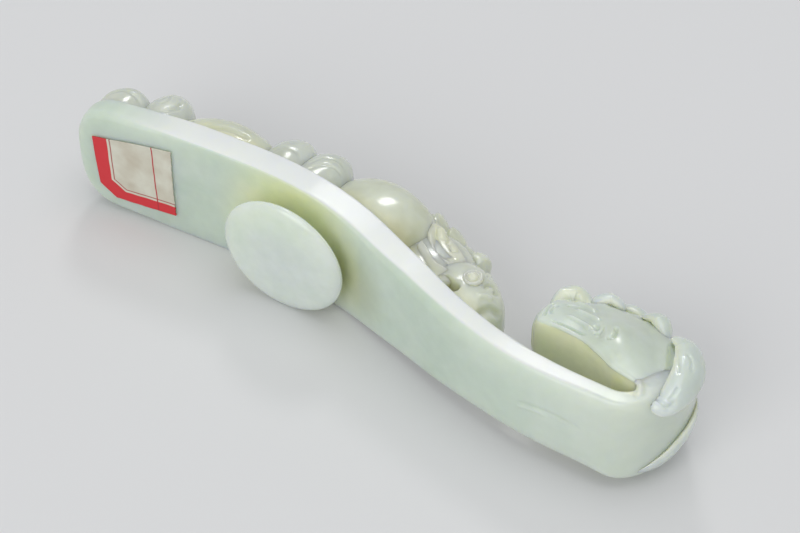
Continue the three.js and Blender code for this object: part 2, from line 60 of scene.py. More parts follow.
def smoothStep(x, low, high):
    t = np.clip((x - low) / (high - low), 0, 1)
    return t * t * (3 - 2 * t)


def unit(vectors):
    return vectors / np.maximum(np.linalg.norm(vectors, axis=-1, keepdims=True), 1e-9)


def readAt(where, places, rows):
    # straight between the rows of a table that stand at the given places
    return np.stack([np.interp(where, places, column) for column in rows.T], -1)


def hermite(t, a, b, slopeA, slopeB):
    near = (2 * t**3 - 3 * t**2 + 1) * a + (t**3 - 2 * t**2 + t) * slopeA
    return near + (-2 * t**3 + 3 * t**2) * b + (t**3 - t**2) * slopeB


def evenly(corners, count):
    # points at equal distances along a line of straight runs, and the length of the line
    corners = np.array(corners, float)
    run = np.concatenate([[0], np.cumsum(np.linalg.norm(np.diff(corners, axis=0), axis=1))])
    return readAt(np.linspace(0, run[-1], count), run, corners), run[-1]


def curveThrough(points, count=400):
    # centripetal Catmull-Rom through the points, then spaced evenly by length
    p = np.asarray(points, float)
    p = np.vstack([2 * p[0] - p[1], p, 2 * p[-1] - p[-2]])
    step = np.maximum(np.linalg.norm(np.diff(p, axis=0), axis=1), 1e-6) ** 0.5
    a, b, c, d = p[:-3], p[1:-2], p[2:-1], p[3:]
    s0, s1, s2 = step[:-2, None], step[1:-1, None], step[2:, None]
    m1 = ((b - a) / s0 - (c - a) / (s0 + s1) + (c - b) / s1) * s1
    m2 = ((c - b) / s1 - (d - b) / (s1 + s2) + (d - c) / s2) * s1
    dense = hermite(np.linspace(0, 1, 40, endpoint=False)[:, None, None], b, c, m1, m2)
    return evenly(np.vstack([dense.transpose(1, 0, 2).reshape(-1, p.shape[1]), p[-2:-1]]), count)


def readRows(rows, where):
    # cubic between the rows of a table, with slopes taken from the rows on either side
    rows = np.asarray(rows, float)
    spot = np.clip(np.asarray(where, float), 0, 1) * (len(rows) - 1)
    i = np.minimum(spot.astype(int), len(rows) - 2)
    slope = np.gradient(rows, axis=0)
    return hermite((spot - i)[:, None], rows[i], rows[i + 1], slope[i], slope[i + 1])


def ripple(points, size, seed=0):
    # a slow unevenness of about -1 to 1, from three crossed waves
    rng = np.random.default_rng(seed)
    out = np.zeros(points.shape[:-1])
    for i in range(3):
        turn = rng.normal(size=3)
        turn = unit(turn) * 2 * np.pi / (size * (1 + 0.37 * i))
        out = out + np.sin(points @ turn + rng.uniform(0, 6.28))
    return out / 3


def smoothed(rows, reach):
    # every column averaged over its neighbours on either side, with bell-shaped weights
    bell = np.hanning(2 * reach + 1)
    bell /= bell.sum()
    padded = np.pad(rows, ((reach, reach), (0, 0)), mode="edge")
    return np.stack([np.convolve(column, bell, mode="valid") for column in padded.T], 1)


def gridNormals(rings):
    along = np.gradient(rings, axis=0)
    around = np.roll(rings, -1, axis=1) - np.roll(rings, 1, axis=1)
    normal = unit(np.cross(around, along))
    centre = rings.mean(axis=1, keepdims=True)
    outward = np.sum(normal * (rings - centre)) > 0
    return normal if outward else -normal


def withEnds(mask):
    # a mask over the rings, then its value at the middle of either end
    return np.concatenate([mask.reshape(-1), [mask[0].mean(), mask[-1].mean()]])


def closedPiece(name, rings, masks=None):
    # rings of equal counts joined by four-sided faces, with a fan over each end
    count, around = rings.shape[:2]
    points = np.vstack([rings.reshape(-1, 3), rings[0].mean(0), rings[-1].mean(0)])
    masks = {key: withEnds(mask) for key, mask in (masks or {}).items()}
    i, j = np.meshgrid(np.arange(count - 1) * around, np.arange(around), indexing="ij")
    k = (j + 1) % around
    quads = np.stack([i + j, i + k, i + around + k, i + around + j], -1).reshape(-1, 4)
    j = np.arange(around)
    k = (j + 1) % around
    lastRing = (count - 1) * around
    first = np.stack([np.full(around, count * around), k, j], -1)
    last = np.stack([np.full(around, count * around + 1), lastRing + j, lastRing + k], -1)
    a, b, c, d = [points[quads[:, corner]] for corner in range(4)]
    volume = np.sum(np.cross(b - a, c - a) * a) + np.sum(np.cross(c - a, d - a) * a)
    if volume < 0:
        quads, first, last = quads[:, ::-1], first[:, ::-1], last[:, ::-1]
    return makePiece(name, points, [quads, first, last], masks)


def makePiece(name, points, faceSets, masks):
    mesh = bpy.data.meshes.new(name)
    sizes = np.concatenate([np.full(len(f), f.shape[1]) for f in faceSets])
    corners = np.concatenate([f.reshape(-1) for f in faceSets]).astype(np.int32)
    mesh.vertices.add(len(points))
    mesh.vertices.foreach_set("co", (points * millimetre).astype(np.float32).reshape(-1))
    mesh.loops.add(len(corners))
    mesh.loops.foreach_set("vertex_index", corners)
    mesh.polygons.add(len(sizes))
    mesh.polygons.foreach_set("loop_start", np.concatenate([[0], np.cumsum(sizes)[:-1]]).astype(np.int32))
    mesh.update(calc_edges=True)
    mesh.validate()
    mesh.shade_smooth()
    for key, mask in masks.items():
        layer = mesh.attributes.new(key, "FLOAT", "POINT")
        layer.data.foreach_set("value", mask.astype(np.float32))
    piece = bpy.data.objects.new(name, mesh)
    bpy.context.scene.collection.objects.link(piece)
    return piece


def marks(rings, normals, lines, axis=2):
    # each line is a groove or a bead on the faces that look along one axis: a smooth dome about a flat path
    spot = np.delete(rings, axis, -1).reshape(-1, 2)
    lift = np.zeros(len(spot))
    for path, width, height, *more in lines:
        path, _ = curveThrough(path, 60)
        near = np.where(np.all((spot > path.min(0) - width) & (spot < path.max(0) + width), axis=1))[0]
        if not len(near):
            continue
        away = np.linalg.norm(spot[near, None] - path[None], axis=2)
        at = away.argmin(1)
        q = np.clip(away.min(1) / width, 0, 1)
        share = at / 59
        ends = more[0] if more else 0.2
        fade = smoothStep(np.minimum(share, 1 - share), 0, ends) if ends else 1
        lift[near] += height * (1 - q * q) ** 2 * fade
    return lift.reshape(rings.shape[:2]) * smoothStep(np.abs(normals[..., axis]), 0.15, 0.5)


def swells(rings, normals, forms, axis=2):
    # broad low domes on the faces that look along one axis, each falling off as an oval
    spot = np.delete(rings, axis, -1)
    lift = np.zeros(rings.shape[:2])
    for form in forms:
        turn = np.radians(form.get("turn", 0))
        away = spot - np.array(form["at"], float)
        u = (away[..., 0] * np.cos(turn) + away[..., 1] * np.sin(turn)) / form["radii"][0]
        v = (away[..., 1] * np.cos(turn) - away[..., 0] * np.sin(turn)) / form["radii"][1]
        q = np.clip(np.hypot(u, v), 0, 1)
        lift += form["height"] * (1 - q * q) ** 2
    return lift * smoothStep(np.abs(normals[..., axis]), 0.1, 0.6)


view = {"azimuth": 28.5, "elevation": 46, "distance": 395, "lens": 100, "target": (3.643, 3.085, 12.3)}


def placeCamera():
    # a level camera that looks at the target, with its place worked out from two angles and a distance
    turn, rise = np.radians(view["azimuth"]), np.radians(view["elevation"])
    back = np.array([np.sin(turn) * np.cos(rise), -np.cos(turn) * np.cos(rise), np.sin(rise)])
    right = np.array([np.cos(turn), np.sin(turn), 0])
    up = np.cross(back, right)
    spot = (np.array(view["target"]) + back * view["distance"]) * millimetre
    data = bpy.data.cameras.new("camera")
    data.lens = view["lens"]
    data.sensor_width = 36
    data.clip_start = 0.01
    data.clip_end = 20
    camera = bpy.data.objects.new("camera", data)
    camera.matrix_world = Matrix([*np.stack([right, up, back, spot], 1).tolist(), [0, 0, 0, 1]])
    bpy.context.scene.collection.objects.link(camera)
    bpy.context.scene.camera = camera


placeCamera()


# shank, neck and skull are one run of sections between a front rail and a back rail

shank = {
    "length": 115.6, "bow": 18.1, "width": 24.6, "thick": 5.2, "thin": 3.6,
    "tailRound": 9, "tailPower": 2.6,  # how the tail end is rounded, seen from the back
    "edge": 0.45, "tailEdge": 1.5, "softAcross": 3.4, "softThrough": 1.3,  # radii of the long edges
    "crown": 0.35, "fuller": 0.8,  # the rise across the back, and the hollow along it at mid-length
    # where these change, in shares of the length, and for the edge in millimetres from the tail end
    "thinning": (0.36, 0.8), "softening": (0.42, 0.8), "fullerStart": (0.42, 0.6), "fullerEnd": (0.84, 1),
    "edgeChange": (6, 26),
}
backLineShares = [
    (0, 0.066), (0.143, 0.017), (0.266, 0), (0.389, 0.033), (0.511, 0.182), (0.617, 0.414),
    (0.722, 0.669), (0.827, 0.856), (0.915, 0.95), (1, 1),
]
widthShares = [
    (0, 0.95), (0.12, 0.985), (0.19, 1), (0.3, 1), (0.46, 1), (0.525, 0.955), (0.59, 0.89),
    (0.635, 0.86), (0.735, 0.785), (0.83, 0.725), (0.915, 0.735), (1, 0.77),
]
hook = {
    "reach": 11.2, "gap": 8.9, "head": 15, "jaw": 23.6, "crown": 31, "width": 20.4,
    "edge": 0.8, "jawEdge": 3.6, "lip": 2.4,
    # the lengths that the rows of neck and head are spread over, and how far the joins between them are eased
    "neckRun": 22, "headRun": 34, "easing": 5, "bell": 2.6,
}
hookRise = shank["thin"] + hook["gap"] + hook["head"]
# rows of the neck: inner point, outer point, width; and of the head, with how far its top is rounded
neckShares = [
    (0.02, 0, 0, 0, 0.93), (0.15, 0.03, 0.33, 0.032, 0.95), (0.27, 0.09, 0.66, 0.14, 0.97),
    (0.325, 0.16, 0.9, 0.296, 0.98), (0.33, 0.22, 1, 0.465, 1), (0.29, 0.27, 0.93, 0.616, 1),
]
headShares = [
    (0, 0.27, 0, 0.616, 1, 0.8), (0.047, 0.29, 0.075, 0.745, 1.01, 0.8),
    (0.114, 0.34, 0.195, 0.81, 1.02, 0.79), (0.203, 0.44, 0.327, 0.875, 1.02, 0.79),
    (0.314, 0.61, 0.453, 0.915, 1, 0.82), (0.479, 0.81, 0.59, 0.905, 0.94, 0.84),
    (0.606, 0.91, 0.68, 0.88, 0.89, 0.84), (0.733, 0.97, 0.765, 0.86, 0.85, 0.84),
    (0.829, 0.99, 0.84, 0.85, 0.81, 0.84), (0.899, 1.03, 0.895, 0.83, 0.76, 0.82),
    (0.941, 1.12, 0.92, 0.79, 0.67, 0.8), (0.967, 1.28, 0.94, 0.72, 0.52, 0.8),
]
backLine, lineLength = curveThrough(
    [(x * shank["length"], -y * shank["bow"]) for x, y in backLineShares], 1200)
backLine = backLine + lineStart
backRun = np.linspace(0, lineLength, 1200)
hookStart = lineStart + np.array([shank["length"], -shank["bow"]])


def backAt(along):
    # the back of the shank at a run from the tail end, and the way from there to its front
    inside = np.clip(along, 0, lineLength)
    forward = readAt(inside, backRun, unit(np.gradient(backLine, axis=0)))
    spot = readAt(inside, backRun, backLine) + forward * (along - inside)[..., None]
    return spot, np.stack([-forward[..., 1], forward[..., 0]], -1)


def thicknessAt(along):
    return mix(shank["thick"], shank["thin"], smoothStep(along / lineLength, *shank["thinning"]))


def widthAt(along):
    places, shares = np.array(widthShares).T
    smooth = np.interp(along / lineLength, places, shares)
    for offset in (0.02, 0.035):
        smooth = smooth + np.interp(along / lineLength + offset, places, shares)
        smooth = smooth + np.interp(along / lineLength - offset, places, shares)
    return shank["width"] * np.minimum(1, smooth / 5)


def overFront(along, across, height):
    spot, front = backAt(along)
    spot = spot + front * (thicknessAt(along) + height)[..., None]
    return np.concatenate([spot, (midHeight + across)[..., None]], -1)


def sections(inner, outer, half, frontRound, backRound, crown, counts):
    # a flat front and a crowned back between four corners, each a quarter of an ellipse
    frontCorner, side, backCorner, face = counts
    depth = np.linalg.norm(outer - inner, axis=1)[:, None]
    way = (outer - inner) / depth
    half = half[:, None]
    fa, ft = [r[:, None] for r in frontRound]
    ba, bt = [r[:, None] for r in backRound]
    near = np.linspace(0, np.pi / 2, frontCorner)[None]
    turn = np.linspace(0, np.pi / 2, backCorner)[None]
    line = np.linspace(0, 1, side + 2)[None, 1:-1]
    wide = np.linspace(0, 1, face + 2)[None, 1:-1]
    run = np.ones_like(line)
    across = [half - fa + fa * np.sin(near), half * run, half - ba + ba * np.cos(turn)]
    through = [ft - ft * np.cos(near), mix(ft, depth - bt, line), depth - bt + bt * np.sin(turn)]
    backFace = mix(half - ba, ba - half, wide)
    frontFace = mix(fa - half, half - fa, wide)
    columns = across + [backFace] + [-a[:, ::-1] for a in across[::-1]] + [frontFace]
    depths = through + [depth * np.ones_like(wide)] + [t[:, ::-1] for t in through[::-1]] + [0 * wide * depth]
    columns, depths = np.hstack(columns), np.hstack(depths)
    depths = depths + crown[:, None] * (1 - (columns / half) ** 2) * depths / depth
    flat = inner[:, None] + way[:, None] * depths[..., None]
    return np.concatenate([flat, (midHeight + columns)[..., None]], -1)


# every row of the rails: inner and outer point, half width, the round of the front edge across the width and
# through the thickness, the same for the back edge, and the crown
def shankRails(spacing):
    along = np.arange(0, lineLength, spacing)
    tail = shank["tailRound"] * (1 - np.cos(np.linspace(0.02, 1, 44) * np.pi / 2))
    along = np.concatenate([tail, along[along > shank["tailRound"] + spacing]])
    share = along / lineLength
    spot, front = backAt(along)
    ending = np.maximum(0, 1 - along / shank["tailRound"])
    power = shank["tailPower"]
    rounding = np.maximum(0, 1 - ending**power) ** (1 / power)
    full = thicknessAt(along)
    thin = mix(full / 3, full, rounding)
    inset = (full - thin) / 2
    fuller = shank["fuller"] * smoothStep(share, *shank["fullerStart"])
    fuller = fuller * (1 - smoothStep(share, *shank["fullerEnd"]))
    inner = spot + front * (inset + thin)[:, None]
    outer = spot + front * (inset - fuller)[:, None]
    half = widthAt(along) / 2 * rounding
    edge = mix(shank["tailEdge"], shank["edge"], smoothStep(along, *shank["edgeChange"]))
    edge = np.minimum(np.minimum(edge, thin / 2.4), half / 2)
    soften = smoothStep(share, *shank["softening"])
    across, through = mix(edge, shank["softAcross"], soften), mix(edge, shank["softThrough"], soften)
    return np.column_stack([inner, outer, half, edge, edge, across, through, shank["crown"] * rounding])


def hookRails(place, shares, innerStart, innerReach, outerStart, outerReach):
    # reads a table whose points are shares of a reach along x and of the height of the hook
    ix, iy, ox, oy, width, *soft = readRows(shares, place).T
    inner = hookStart + np.column_stack([innerStart + ix * innerReach, shank["thin"] + iy * hook["gap"]])
    outer = hookStart + np.column_stack([outerStart + ox * outerReach, oy * hookRise])
    return inner, outer, np.linalg.norm(outer - inner, axis=1), width * hook["width"] / 2, *soft


def neckRails(spacing):
    place = np.linspace(0, 1, int(hook["neckRun"] / spacing))[2:]
    inner, outer, depth, half = hookRails(place, neckShares, 0, hook["reach"], 0, hook["reach"])
    small = np.full_like(half, hook["edge"])
    soft = mix(0.1, 0.8, smoothStep(place, 0.1, 0.8))
    across, through = np.maximum(small, soft * half), np.maximum(small, soft * depth)
    return np.column_stack([inner, outer, half, small, small, across, through, 0 * half])


def headRails(spacing):
    place = np.linspace(0, 1, int(hook["headRun"] / spacing))[1:]
    slotEnd, nape = neckShares[-1][0] * hook["reach"], neckShares[-1][2] * hook["reach"]
    read = hookRails(place, headShares, slotEnd, -hook["jaw"], nape, -hook["crown"])
    inner, outer, depth, half, soft = read
    small = np.full_like(half, hook["edge"])
    tip = smoothStep(place, 0.8, 1)
    jaw, lip = mix(small, hook["jawEdge"], tip), mix(small, hook["lip"], tip)
    across = np.maximum(small, soft * half)
    through = np.maximum(small, np.minimum(soft * depth, depth - 1.05 * lip))
    return np.column_stack([inner, outer, half, jaw, lip, across, through, 0 * half])


def spineRails(spacing):
    # the whole run from tail to muzzle, with its two joins eased by a bell-shaped average
    parts = shankRails(spacing), neckRails(spacing), headRails(spacing)
    rows = np.vstack(parts)
    starts = (len(parts[0]), len(parts[0]) + len(parts[1]))
    reach = int(hook["easing"] / spacing)
    for start in starts:
        for i in range(3):
            part = rows[start - 2 * reach:start + 2 * reach].copy()
            blend = np.sin(np.linspace(0, np.pi, len(part)))[:, None]
            eased = smoothed(part, int(hook["bell"] / spacing))
            rows[start - 2 * reach:start + 2 * reach] = mix(part, eased, np.minimum(1, 1.6 * blend))
    return rows, starts


def lofted(rows, counts):
    frontRound, backRound = (rows[:, 5], rows[:, 6]), (rows[:, 7], rows[:, 8])
    return sections(rows[:, 0:2], rows[:, 2:4], rows[:, 4], frontRound, backRound, rows[:, 9], counts)


def shrunkRows(rows, by):
    # each section drawn in by its distance, so that one piece lies just inside the other where they overlap
    out = rows.copy()
    way = unit(rows[:, 2:4] - rows[:, 0:2])
    out[:, 0:2] += way * by[:, None]
    out[:, 2:4] -= way * by[:, None]
    out[:, 4] -= by
    return out


button = {
    "centre": (-15.97, -6.25, midHeight), "tilt": 2,
    "stemRadii": (6.3, 5), "stemFoot": 1.15, "stemStart": 2.72, "stemLength": 4.5,
    # radius and depth below the middle of the face: a low dome, the rounded rim and the flat back
    "profile": [(0.3, 0), (5, 0.05), (9, 0.2), (10.7, 0.42), (11.6, 0.75), (12.2, 1.25),
                (12.25, 1.75), (11.7, 2.3), (10.2, 2.64), (6, 2.7), (2, 2.7)],
    "uneven": 0.004,
}


def turnedPiece(name, radii, depths, oval=(1, 1), uneven=0, around=160):
    # a profile of radius and depth turned round the axis of the button, with an oval and a slow unevenness
    turn = np.linspace(0, 2 * np.pi, around, endpoint=False)[None]
    tilt = np.radians(button["tilt"])
    axis = np.array([np.sin(tilt), np.cos(tilt), 0])
    aside = np.array([np.cos(tilt), -np.sin(tilt), 0])
    wave = 1 + uneven * (np.sin(2 * turn + 0.6) + 0.6 * np.sin(3 * turn + 2.1) + 0.4 * np.sin(5 * turn))
    radii, depths = np.asarray(radii)[:, None] * wave, np.asarray(depths)[:, None]
    rings = np.array(button["centre"]) + depths[..., None] * axis
    rings = rings + (radii * oval[0] * np.cos(turn))[..., None] * aside
    rings = rings + (radii * oval[1] * np.sin(turn))[..., None] * np.array([0, 0, 1.0])
    return closedPiece(name, rings, {"paintedGlow": nearButton(rings)})


def nearButton(points):
    # how far a point is closed in between the button and the shank, where a warm glow is painted in for light
    # that passes through the stone
    across = np.hypot(points[..., 0] - button["centre"][0], points[..., 2] - button["centre"][2])
    return smoothStep(points[..., 1], -3.9, -3.2) * (1 - smoothStep(across, 8, 19))


def spotMask(points, at, radii, axis=1):
    # a soft oval patch seen along one axis, 1 in its middle
    away = (np.delete(points, axis, -1) - np.array(at)) / np.array(radii)
    q = np.clip(np.linalg.norm(away, axis=-1), 0, 1)
    return (1 - q * q) ** 2


spine, (neckRow, headRow) = spineRails(0.34)
shankRows = spine[:headRow + 10].copy()
inside = 0.35 * smoothStep(np.arange(len(shankRows)), headRow, headRow + 3)
shankRings = lofted(shrunkRows(shankRows, inside), (8, 10, 26, 58))
shankNormals = gridNormals(shankRings)

# carved strokes: path, half width, and how far the stroke stands out or goes in
cheekGroove = ([(55.5, 3), (57.1, -1), (58.3, -4.6), (58.2, -6.8), (57.4, -8.4), (55.9, -9.8), (54, -10.1)],
               1.2, -0.35)
slotNub = ([(53.2, -10.2), (55, -10.3), (55.8, -11.1), (56.1, -12.1), (55.4, -13)], 0.9, 0.45)
backStrokes = [
    ([(34.9, 12), (36.3, 12.8), (38.3, 13.4), (40.7, 13.8), (43.4, 13.7), (46.1, 13.4), (49, 13)], 0.7, -0.2),
    ([(35.8, 11.5), (37.8, 12.3), (40.2, 12.8), (42.4, 12.6)], 0.7, 0.18),
]
headSwells = [
    {"at": (48.9, -4.5), "radii": (10, 6.6), "turn": -52, "height": 1.8},
    {"at": (42, 6.6), "radii": (4.5, 3), "turn": 8, "height": 0.7},
]
turnOnly = (np.arange(len(shankRings)) > neckRow + 20)[:, None]
shankLift = swells(shankRings, shankNormals, headSwells) * turnOnly
shankLift = shankLift + marks(shankRings, shankNormals, [cheekGroove, slotNub])
shankLift = shankLift + marks(shankRings, shankNormals, backStrokes, 1)
shankRings = shankRings + shankNormals * shankLift[..., None]


def underJaw(points):
    # the slot between the shank and the jaw, where a painted warm glow stands in for light that has passed
    # through the stone
    inside = smoothStep(points[..., 0], 34, 42) * (1 - smoothStep(points[..., 0], 55, 57.5))
    front = np.interp(points[..., 0], shankRows[:neckRow, 0], shankRows[:neckRow, 1])
    return inside * smoothStep(points[..., 1] - front, -0.5, -0.1)


# the flat land on either side is ground rather than polished, and its lighter colour also paints the sheen of
# the key light on it;
# the colour turns lighter and warmer toward the hook, and two patches get painted olive shade; each of these
# starts and ends between two places along x, and the patches have a middle and two radii
shankLook = {
    "landStart": (-58, -40), "landEnd": (44, 56), "paler": (12, 50), "warmer": (44, 60),
    "backPatch": ((-1.5, 11), (9, 12)), "frontPatch": ((5, 20), (8, 9)),
}
shankX = shankRings[..., 0]
shankLand = smoothStep(np.abs(shankNormals[..., 2]), 0.6, 0.95) * smoothStep(shankX, *shankLook["landStart"])
shankLand = shankLand * (1 - smoothStep(shankX, *shankLook["landEnd"]))
shankLand = np.maximum(shankLand, 0.35 * smoothStep(shankX, *shankLook["paler"]))
# painted warm glow between the button and the shank and in the slot under the jaw; the same warm tint,
# weaker, toward the hook
shankGlow = np.maximum(nearButton(shankRings), underJaw(shankRings))
shankGlow = np.maximum(shankGlow, 0.18 * smoothStep(shankX, *shankLook["warmer"]))
# painted olive shade on the back to the right of the button, and on the front in the hollow at the right end
# of the young dragon's body
onBack = spotMask(shankRings, *shankLook["backPatch"]) * (shankNormals[..., 1] < 0)
onFront = spotMask(shankRings, *shankLook["frontPatch"]) * (shankNormals[..., 1] > 0.3)
shankMasks = {"paintedGlow": shankGlow, "shade": 0.7 * onBack + onFront, "land": shankLand}
shankPiece = closedPiece("jadeShank", shankRings, shankMasks)
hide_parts("shank", "hook_neck")

fineSpine, (fineNeck, fineHead) = spineRails(0.14)
headRows = fineSpine[fineHead - 24:]
headRows = shrunkRows(headRows, 0.5 * (1 - smoothStep(np.arange(len(headRows)), 18, 24)))
# the muzzle closes over its last section like a quarter of an ellipse
muzzle = np.linspace(0, 1, 24)[1:, None]
lastRow = headRows[-1]
endMiddle = (lastRow[0:2] + lastRow[2:4]) / 2
closing = np.repeat(lastRow[None], len(muzzle), 0)
shrink = np.sqrt(np.maximum(1 - muzzle**2, 0.0004))
bulge = np.array([-1.2, 0.25]) * muzzle
closing[:, 0:2] = endMiddle + (lastRow[0:2] - endMiddle) * shrink + bulge
closing[:, 2:4] = endMiddle + (lastRow[2:4] - endMiddle) * shrink + bulge
closing[:, 4:9] = lastRow[4:9] * shrink
headRings = lofted(np.vstack([headRows, closing]), (8, 18, 80, 26))
headNormals = gridNormals(headRings)
headStrokes = [
    cheekGroove,
    # nostril and lips
    ([(34.3, -2.4), (33.8, -0.2), (33.9, 1.2), (34.4, 2.2)], 0.47, -0.47),
    ([(35.4, -1.5), (34.7, -0.4), (34.8, 1), (35.6, 1.2)], 0.42, -0.41),
    ([(37.4, -0.7), (39.5, -1.2), (41.7, -1.9), (43.5, -3.1), (44.8, -3.7)], 0.59, 0.47),
    ([(38.2, 1.2), (40.1, 1), (42.2, 0.4), (44, -0.7)], 0.59, 0.47),
    ([(36.3, 2), (38.2, 2.4), (40, 2.1)], 0.51, -0.41),
    ([(35.7, -2.9), (37.7, -3.2), (39.7, -3.5), (41.7, -4), (43.3, -4.3)], 0.42, -0.47),
    # corner of the mouth
    ([(42.7, -2.9), (44, -3), (44.4, -1.9)], 0.42, -0.41),
    ([(44.2, -4.2), (45.2, -3.5), (45.4, -2.1)], 0.42, -0.41),
    ([(47.2, -1.9), (48, -3.4), (47.9, -4.6), (46.8, -5)], 0.51, -0.54),
    # rim of the jaw
    ([(35, -3.4), (36.5, -3.5), (37.9, -3.7), (41.1, -4.5), (43.3, -5.3), (46, -6.5), (49.1, -8.1),
      (51.9, -9.5), (53.6, -10)], 0.68, 0.54),
    # under the brow, beside the nose and behind the mouth
    ([(41.8, 5.6), (43.8, 6.6), (48.3, 6.1), (50, 5.2)], 1.2, -0.5),
    ([(36.8, 4.2), (38.8, 4), (40.6, 3), (42.2, 2.4)], 0.8, 0.4),
    ([(43.2, -1.6), (44.4, -2.6), (45.6, -4.2), (45.9, -5.4)], 0.9, -0.35),
]
headLift = swells(headRings, headNormals, headSwells) + marks(headRings, headNormals, headStrokes)
headCarved = headRings + headNormals * headLift[..., None]
# painted warm glow on the underside of the jaw, facing the slot
jawLine = np.interp(headRings[..., 0], headRows[::-1, 0], headRows[::-1, 1])
nearJaw = 1 - smoothStep(headRings[..., 1] - jawLine, 0.1, 0.9)
facingDown = 1 - smoothStep(np.abs(headNormals[..., 2]), 0.2, 0.6)
headPiece = closedPiece("dragonHead", headCarved, {"paintedGlow": 0.85 * nearJaw * facingDown})
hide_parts("dragon_head", "dragon_cheek_left", "dragon_cheek_right")
print("shank and head lofted:", shankRings.shape, headRings.shape)


def onNape(path):
    # brings a path onto the rounded outside of the turn, and gives the way that the surface faces there
    rows = fineSpine[fineNeck - 60:fineHead + 60]
    row = rows[np.linalg.norm(path[:, None, :2] - rows[None, :, 2:4], axis=2).argmin(1)]
    way = unit(row[:, 2:4] - row[:, 0:2])
    u = np.clip((np.abs(path[:, 2]) - row[:, 4] + row[:, 7]) / row[:, 7], 0, 0.97)
    upright = np.sqrt(1 - u * u)
    depth = row[:, 8] * (1 - upright)
    facing = np.column_stack([way * (upright / row[:, 8])[:, None], np.sign(path[:, 2]) * u / row[:, 7]])
    path = np.column_stack([row[:, 2:4] - way * depth[:, None], path[:, 2]])
    return curveThrough(path[::8], len(path))[0], curveThrough(facing[::8], len(path))[0]


def strand(name, form, side=1, counts=(90, 64)):
    # oval sections carried along a path and closed toward both ends, with grooves that run along the top
    path, _ = curveThrough(form["path"], counts[0])
    if form["facing"] == "nape":
        path, facing = onNape(path)
    else:
        facing = np.array(form["facing"], float) * np.array([1, 1, side])
    path = path * np.array([1, 1, side]) + np.array([0, 0, midHeight])
    share = np.linspace(0, 1, counts[0])
    tangent = unit(np.gradient(path, axis=0))
    if "around" in form:  # faces away from a centre line as well
        out = path - np.array([*form["around"], midHeight])
        out[:, 2] = 0
        facing = facing + unit(out)
    facing = unit(facing - np.sum(facing * tangent, axis=-1, keepdims=True) * tangent)
    across = np.cross(tangent, facing)
    power = form.get("ends", 2.4)
    close = np.maximum((1 - np.abs(2 * share - 1) ** power) ** (1 / power), 0.02)
    half, tall = [np.interp(share, np.linspace(0, 1, len(form[key])), form[key]) * close
                  for key in ("widths", "heights")]
    half = half / 2
    turn = np.linspace(0, 2 * np.pi, counts[1], endpoint=False)[None]
    lanes = form.get("strands", 1)
    valley = 1 - np.abs(np.sin(np.pi * lanes * (np.cos(turn) + 1) / 2)) ** 0.6 if lanes > 1 else 0 * turn
    up = np.where(np.sin(turn) > 0, np.sin(turn), form.get("under", 0.45) * np.sin(turn))
    up = up * (1 - form.get("cut", 0.22) * valley * (np.sin(turn) > 0))
    rings = path[:, None] + across[:, None] * (half[:, None] * np.cos(turn))[..., None]
    rings = rings + facing[:, None] * (tall[:, None] * up)[..., None]
    if "strokes" in form:
        normals = gridNormals(rings)
        rings = rings + normals * marks(rings, normals, form["strokes"])[..., None]
    # painted warm glow on the underside of the strand
    low = 0.5 * (1 - smoothStep(up, 0.0, 0.6)) * np.ones_like(half[:, None])
    return closedPiece(name, rings, {"paintedGlow": low})


dragonForms = {
    "nose": {
        "path": [(33.4, 2.4, 0), (32.9, 5.6, 0), (33.6, 8.4, 0), (35.4, 9.4, 0), (37.4, 8.7, 0),
                 (39.8, 6.8, 0)],
        "widths": [5, 7.4, 9, 9, 8, 6.5], "heights": [1, 1.5, 2, 2.4, 2.1, 1.2],
        "facing": (-0.4, 1, 0), "under": 1.7,
        "strokes": [([(32.6, 8.4), (34.6, 9.6), (36.8, 9.2), (38.4, 7.6)], 0.9, -0.18)],
    },
    "ridge": {
        "path": [(62.4, 0.5, -0.4), (62.9, -3.4, -2.2), (62.2, -7.4, -4.6), (60.9, -10.2, -6.4),
                 (59.5, -12.5, -7.4), (58.2, -13.9, -8)],
        "widths": [3, 4.2, 4.4, 4, 3.4, 2.4], "heights": [0.6, 0.9, 1.1, 1.1, 0.9, 0.5],
        "facing": "nape", "strands": 2, "cut": 0.2,
    },
}
